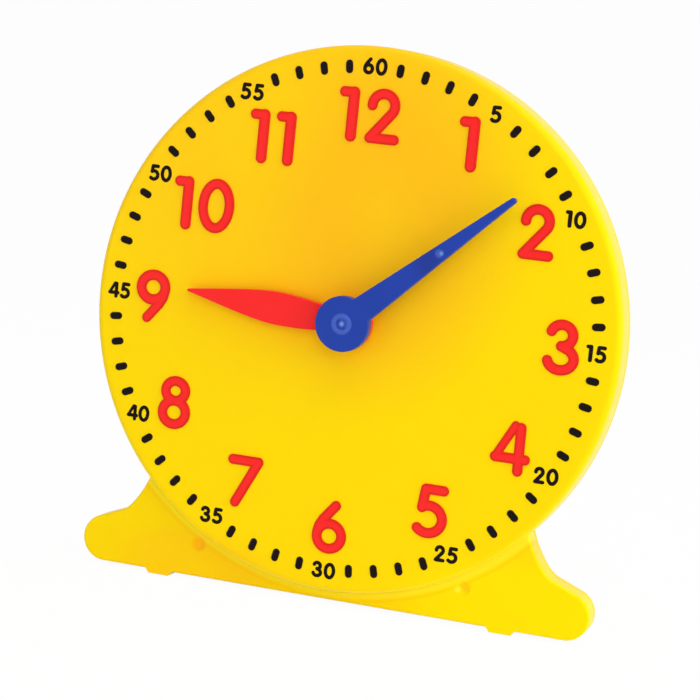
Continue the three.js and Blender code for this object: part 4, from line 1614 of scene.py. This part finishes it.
@dataclass
class Screws(Part):
    """The plated screws of the cover and the feet."""

    slot = Slot.STEEL

    outline: CaseOutline
    head_radius: float = 1.9
    head_height: float = 0.8
    head_side: float = 0.3
    head_chamfer: float = 0.1
    crown_radius: float = 1.2
    shank_radius: float = 0.9
    tip_radius: float = 0.05
    tip_length: float = 0.6
    slot_half_width: float = 0.3
    slot_half_length: float = 1.25
    slot_depth: float = 0.7

    def screw(self, name: str) -> Object:
        """Makes one cross-slotted screw.

        Args:
            name: the node that it stands for.

        Returns:
            The screw's object.
        """
        low, high = node_box(name)
        x, z = (low[0] + high[0]) / 2, (low[2] + high[2]) / 2
        back = high[1]
        seat = back - self.head_height
        profile = [
            (self.tip_radius, low[1]),
            (self.shank_radius, low[1] + self.tip_length),
            (self.shank_radius, seat),
            (self.head_radius - self.head_chamfer, seat),
            (self.head_radius, seat + self.head_chamfer),
            (self.head_radius, seat + self.head_side),
        ]
        dome = self.head_height - self.head_side
        wide = self.head_radius - self.crown_radius
        for across, up in arc((0.0, 0.0), 1.0, 0.0, 90.0, 8)[1:]:
            ring = self.crown_radius + wide * across
            profile.append((ring, seat + self.head_side + dome * up))
        screw = Draft().grid(turned(profile, 40, (x, z))).make(name + "_plated")
        square = np.array(((-1, -1), (1, -1), (1, 1), (-1, 1)))
        rows = [(back - self.slot_depth, 0.08), (back + 0.5, -0.05)]
        half, reach = self.slot_half_width, self.slot_half_length
        slots = []
        for halves in ((half, reach), (reach, half)):
            corners = square * halves + (x, z)
            outline = drawn_in(rounded_polygon(corners, np.full(4, 0.15), 5))
            slots.append(Draft().slab(outline, rows).make("slot"))
        return combined(screw, Combine.CUT, slots, 30.0)

    def pieces(self) -> list[Made]:
        """Makes every screw.

        Returns:
            Each piece, with the nodes that it stands for.
        """
        names = [f"cover_screw_{number}" for number in range(1, 7)]
        names += ["foot_screw_left", "foot_screw_right"]
        return [(self.screw(name), [name]) for name in names]


@dataclass
class HourNumerals(Part):
    """The red hour numerals, one piece per digit."""

    slot = Slot.RED

    height: float = 9.95
    figure: Figure = Figure(half_stroke=0.95, relief=0.3, edge=0.16, spacing=0.08)

    def pieces(self) -> list[Made]:
        """Makes each digit where its node is.

        Returns:
            Each piece, with the nodes that it stands for.
        """
        digits = {f"numeral_{hour}": hour for hour in range(1, 10)}
        digits |= {"numeral_10_tens": 1, "numeral_10_units": 0}
        digits |= {"numeral_11_tens": 1, "numeral_11_units": 1}
        digits |= {"numeral_12_tens": 1, "numeral_12_units": 2}
        made = []
        for node, digit in digits.items():
            low, high = node_box(node)
            middle = ((low + high) / 2)[[0, 2]]
            strokes = placed_digit(digit, self.figure, self.height, middle)
            made.append((Draft().figure(self.figure, strokes).make("red_" + node, 60.0), [node]))
        return made


@dataclass
class MinuteScale(Part):
    """The black ring of minute marks, with a numeral every five minutes."""

    slot = Slot.BLACK

    middle: tuple[float, float] = (-0.14, 0.18)
    radius: float = 45.95
    length: float = 2.45
    width: float = 1.35
    relief: float = 0.12
    numeral_height: float = 3.1
    figure: Figure = Figure(half_stroke=0.34, relief=0.06, edge=0.05, spacing=0.045)

    def marks(self) -> Object:
        """Makes the bars between the numerals: one round-ended bar, turned to each minute.

        Returns:
            The object that holds them all.
        """
        half = self.width / 2
        ends = (
            arc((0.0, self.radius + self.length / 2 - half), half, 0.0, 180.0, 11),
            arc((0.0, self.radius - self.length / 2 + half), half, 180.0, 360.0, 11),
        )
        bar = swept(drawn_in(np.concatenate(ends)), edge_rows(-self.relief, 0.05, 0.08, 0.01, 4))
        draft = Draft()
        for minute in range(60):
            if minute % 5:
                draft.grid(turned_to(bar, 6.0 * minute) + (self.middle[0], 0.0, self.middle[1]))
        return draft.make("minute_marks", 60.0)

    def numerals(self) -> Object:
        """Makes the small upright numerals, each at its own place.

        Returns:
            The object that holds them all.
        """
        draft = Draft()
        for minute, (x, z, pitch) in MINUTE_NUMERALS.items():
            digits = [int(letter) for letter in str(minute)]
            for place, digit in enumerate(digits):
                shift = (place - (len(digits) - 1) / 2) * pitch
                strokes = placed_digit(digit, self.figure, self.numeral_height, (x + shift, z))
                draft.figure(self.figure, strokes)
        return draft.make("minute_numerals", 60.0)

    def pieces(self) -> list[Made]:
        """Makes the marks and the numerals.

        Returns:
            Each piece, with the nodes that it stands for.
        """
        return [(self.marks(), []), (self.numerals(), [])]


@dataclass
class MinuteHand(Part):
    """The blue minute hand: a tapered arm and a round hub with a moulded ring."""

    body = Body.MINUTE
    slot = Slot.BLUE

    length: float = 39.0
    half_width: float = 2.65
    tip_radius: float = 0.55
    front: float = float(node_box("minute_hand")[0][1] + 0.15)
    back: float = float(node_box("minute_hand")[1][1])
    arm_thickness: float = 1.5
    hub_radius: float = 5.05
    ring_rows: Rows = (
        (0.02, 0.3),
        (1.0, 0.3),
        (1.02, -0.02),
        (1.12, -0.12),
        (1.3, -0.15),
        (1.6, -0.15),
        (1.8, -0.1),
        (1.9, 0.0),
    )
    dot_rows: Rows = ((0.02, 0.0), (0.15, 0.02), (0.3, 0.1), (0.36, 0.4))
    gate_rows: Rows = ((0.7, -0.5), (0.7, 0.05), (0.56, 0.15), (0.21, 0.1))

    def behind_front(self, rows: Rows) -> list[tuple[float, float]]:
        """The radius and depth of each row, from its radius and how far behind the front it is."""
        return [(radius, self.front + depth) for radius, depth in rows]

    def rim(self) -> list[tuple[float, float]]:
        """The radius and depth of each row of the hub's rim."""
        rows = edge_rows(self.front, self.back, 0.3, 0.15)
        return [(self.hub_radius - inset, depth) for depth, inset in rows]

    def pieces(self) -> list[Made]:
        """Makes the hand.

        Returns:
            Each piece, with the nodes that it stands for.
        """
        tip = arc((0.0, self.length - self.tip_radius), self.tip_radius, 0.0, 180.0, 17)
        root = ((-self.half_width, 0.0), (self.half_width, 0.0))
        rows = edge_rows(self.front, self.front + self.arm_thickness, 0.3, 0.15)
        arm = swept(drawn_in(np.concatenate((root, tip))), rows)
        hub = turned([*self.behind_front(self.ring_rows), *self.rim(), (2.0, self.back)], 128)
        dot = turned(self.behind_front(self.dot_rows), 32)
        gate = turned(self.behind_front(self.gate_rows), 40, (0.0, GATE_PLACE))
        hand, arm, dot, gate = (
            Draft().grid(turned_to(points, MINUTE_ANGLE)).make(name)
            for points, name in (
                (hub, "minute_hand_moulding"),
                (arm, "arm"),
                (dot, "dot"),
                (gate, "gate"),
            )
        )
        combined(hand, Combine.ADD, [arm, dot], 35.0)
        combined(hand, Combine.CUT, [gate], 35.0)
        return [(hand, ["minute_hand"])]


@dataclass
class HourHand(Part):
    """The red hour hand: a pointed leaf and a round hub."""

    body = Body.HOUR
    slot = Slot.RED

    length: float = 31.4
    half_width: float = 3.0
    front: float = float(node_box("hour_hand")[0][1])
    back: float = float(node_box("hour_hand")[1][1])
    hub_radius: float = 4.7
    bore: float = 2.85

    def leaf(self) -> Array:
        """The leaf's outline: a quadratic curve from root to belly and a cubic one to the point.

        Returns:
            One point in x and z per row, anticlockwise.
        """
        flare_shares = ((0.5, 0.0), (0.983, 0.223), (1.0, 0.43))
        run_shares = ((1.0, 0.557), (0.563, 0.736), (0.09, 0.99))
        shares = np.array((*flare_shares, *run_shares))
        root, shoulder, belly, taper, nose, point = shares * (self.half_width, self.length)
        t = np.linspace(0.0, 1.0, 24)[:, None]
        flare = root * (1 - t) ** 2 + 2 * shoulder * t * (1 - t) + belly * t**2
        run = belly * (1 - t) ** 3 + 3 * taper * t * (1 - t) ** 2
        run += 3 * nose * t**2 * (1 - t) + point * t**3
        right = np.concatenate((flare, run[1:]))
        left = right[::-1] * (-1, 1)
        return np.concatenate((right, ((0.0, self.length),), left))

    def pieces(self) -> list[Made]:
        """Makes the hand.

        Returns:
            Each piece, with the nodes that it stands for.
        """
        leaf = swept(drawn_in(self.leaf()), edge_rows(self.front, self.back, 0.22, 0.1, 5))
        rim = edge_rows(self.front, self.back, 0.25, 0.1)
        hub = turned(
            [
                (self.bore, self.front),
                *[(self.hub_radius - inset, depth) for depth, inset in rim],
                (self.bore, self.back),
            ],
            128,
        )
        hand = Draft().grid(turned_to(leaf, HOUR_ANGLE)).make("hour_hand_moulding")
        ends = (self.front - OVERRUN, self.back + OVERRUN)
        plug = turned([(self.bore, end) for end in ends], 96)
        combined(hand, Combine.CUT, [Draft().grid(plug).make("bore")])
        ring = Draft().grid(turned_to(hub, HOUR_ANGLE), closed=True)
        combined(hand, Combine.ADD, [ring.make("hub")], 35.0)
        return [(hand, ["hour_hand"])]


@dataclass
class Movement:
    """The gears, shafts and washers inside, which keep their own solids."""

    plastic: tuple[str, ...] = (
        "hour_wheel",
        "idler_wheel",
        "minute_pinion",
        "minute_arbor",
        "hand_spacer",
    )
    steel: tuple[str, ...] = ("idler_post", "friction_washer")

    def build(self, palette: Palette) -> None:
        """Dresses each node.

        Args:
            palette: the finishes.
        """
        for names, slot in ((self.plastic, Slot.GEAR), (self.steel, Slot.STEEL)):
            for name in names:
                palette.dress(frame["nodes"][name], slot)
                LOG.info("dressed %s", name)


@dataclass
class Studio:
    """The pale floor, the soft lights and the camera."""

    yaw: float = 17.14
    elevation: float = 6.55
    roll: float = 5.90
    distance: float = 397.1
    shift_x: float = -0.06
    shift_z: float = 5.02
    focal_pixels: float = 2187.0
    sensor: float = 36.0
    ambient: float = 0.37
    floor_glow: float = 0.96
    lamps: tuple[tuple[str, tuple[float, float, float], float, float], ...] = (
        ("side", (0.9, -0.35, 0.25), 0.8, 2.6),
        ("graze", (1.0, -0.08, 0.15), 0.8, 3.0),
        ("high", (0.1, -0.35, 0.95), 0.8, 1.8),
        ("over", (0.3, -0.05, 1.0), 0.8, 2.8),
        ("fill", (-0.6, -0.8, 0.05), 0.3, 0.7),
        ("front", (0.3, -0.85, 0.4), 0.5, 1.9),
    )

    def camera(self) -> None:
        """Places the camera at the photograph's angle."""
        yaw, lift, roll = (math.radians(angle) for angle in (self.yaw, self.elevation, self.roll))
        flat = math.cos(lift)
        back = Vector((math.sin(yaw) * flat, -math.cos(yaw) * flat, math.sin(lift)))
        level = (-back).cross(Vector((0.0, 0.0, 1.0))).normalized()
        upright = level.cross(-back)
        right = level * math.cos(roll) + upright * math.sin(roll)
        up = upright * math.cos(roll) - level * math.sin(roll)
        place = back * self.distance - right * self.shift_x - up * self.shift_z
        data = bpy.data.cameras.new("camera")
        data.sensor_width = self.sensor
        data.lens = self.focal_pixels / IMAGE_SIDE * self.sensor
        data.clip_start = 0.01
        made = bpy.data.objects.new("camera", data)
        bpy.context.scene.collection.objects.link(made)
        turn = Matrix((right, up, back)).transposed().to_4x4()
        made.matrix_world = Matrix.Translation(DIAL_CENTRE + place * MILLIMETRE) @ turn
        bpy.context.scene.camera = made

    @staticmethod
    def lamp(name: str, place: Sequence[float], size: float, power: float) -> None:
        """Places a square lamp that faces the dial.

        Args:
            name: the lamp's name.
            place: where it is, in metres from the dial's centre.
            size: its side in metres.
            power: its power in watts.
        """
        data = bpy.data.lights.new(name, "AREA")
        data.size = size
        data.energy = power
        made = bpy.data.objects.new(name, data)
        bpy.context.scene.collection.objects.link(made)
        made.location = DIAL_CENTRE + Vector(place)
        made.rotation_mode = "QUATERNION"
        made.rotation_quaternion = Vector(place).to_track_quat("Z", "Y")

    def world(self) -> None:
        """A pale surround that is plain white where the camera or a reflection sees it."""
        world = bpy.data.worlds.new("surround")
        world.use_nodes = True
        bpy.context.scene.world = world
        graph = NodeGraph(world.node_tree)
        background = world.node_tree.nodes["Background"]
        path = graph.node("LightPath").outputs
        seen = graph.sum("MAXIMUM", path["Is Camera Ray"], path["Is Glossy Ray"])
        seen = graph.sum("MAXIMUM", seen, path["Is Transmission Ray"])
        strength = graph.sum("MULTIPLY_ADD", seen, 1.0 - self.ambient, self.ambient)
        graph.feed(background.inputs["Color"], (1.0, 1.0, 1.0, 1.0))
        graph.feed(background.inputs["Strength"], strength)

    def floor(self) -> Object:
        """A wide pale floor: flat, then a quarter circle, then an upright backdrop.

        Returns:
            The floor's object.
        """
        bend, far, side = 0.5, 0.9, 4.0
        angles = np.linspace(0.0, math.pi / 2, 24)
        run = np.concatenate(((-side,), far + bend * np.sin(angles), (far + bend,)))
        rise = np.concatenate(((0.0,), bend - bend * np.cos(angles), (side,)))
        across = np.array((-side, side))
        x, y = np.meshgrid(across, run)
        z = np.repeat(rise[:, None], 2, axis=1)
        points = np.stack((x, y, z), axis=-1).reshape(-1, 3)
        first = np.arange(len(run) - 1) * 2
        faces = np.stack((first, first + 1, first + 3, first + 2), axis=1)
        mesh = bpy.data.meshes.new("floor")
        mesh.from_pydata(points.tolist(), [], faces.tolist())
        mesh.shade_smooth()
        made = bpy.data.objects.new("floor", mesh)
        bpy.context.scene.collection.objects.link(made)
        mesh.materials.append(self.floor_material())
        return made

    def floor_material(self) -> Material:
        """A dull near-white that glows where the camera or a reflection sees it.

        Returns:
            The material.
        """
        material = bpy.data.materials.new("pale_floor")
        material.use_nodes = True
        graph = NodeGraph(material.node_tree)
        shader = material.node_tree.nodes["Principled BSDF"]
        output = material.node_tree.nodes["Material Output"]
        shader.inputs["Base Color"].default_value = (0.95, 0.95, 0.95, 1.0)
        shader.inputs["Roughness"].default_value = 0.9
        shader.inputs["Specular IOR Level"].default_value = 0.1
        glow = graph.node("Emission")
        path = graph.node("LightPath").outputs
        seen = graph.sum("MAXIMUM", path["Is Camera Ray"], path["Is Glossy Ray"])
        graph.feed(glow.inputs["Strength"], 1.0)
        mix = graph.node("MixShader")
        graph.feed(mix.inputs[0], graph.sum("MULTIPLY", seen, self.floor_glow))
        graph.feed(mix.inputs[1], shader.outputs[0])
        graph.feed(mix.inputs[2], glow.outputs[0])
        graph.feed(output.inputs["Surface"], mix.outputs[0])
        return material

    def build(self) -> None:
        """Sets the whole studio."""
        self.camera()
        self.world()
        self.floor()
        for lamp in self.lamps:
            self.lamp(*lamp)
        bpy.context.scene.view_settings.view_transform = "Standard"


def main() -> None:
    """Builds the studio and dresses every part of the clock."""
    logging.basicConfig(level=logging.INFO, format="%(name)s: %(message)s")
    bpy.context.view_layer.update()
    Studio().build()
    palette = Palette()
    outline = CaseOutline()
    for part in (
        FrontCase(outline),
        RearCover(outline),
        RearFeet(outline),
        Screws(outline),
        HourNumerals(),
        MinuteScale(),
        HourHand(),
        MinuteHand(),
        Movement(),
    ):
        part.build(palette)


if __name__ == "__main__":
    main()
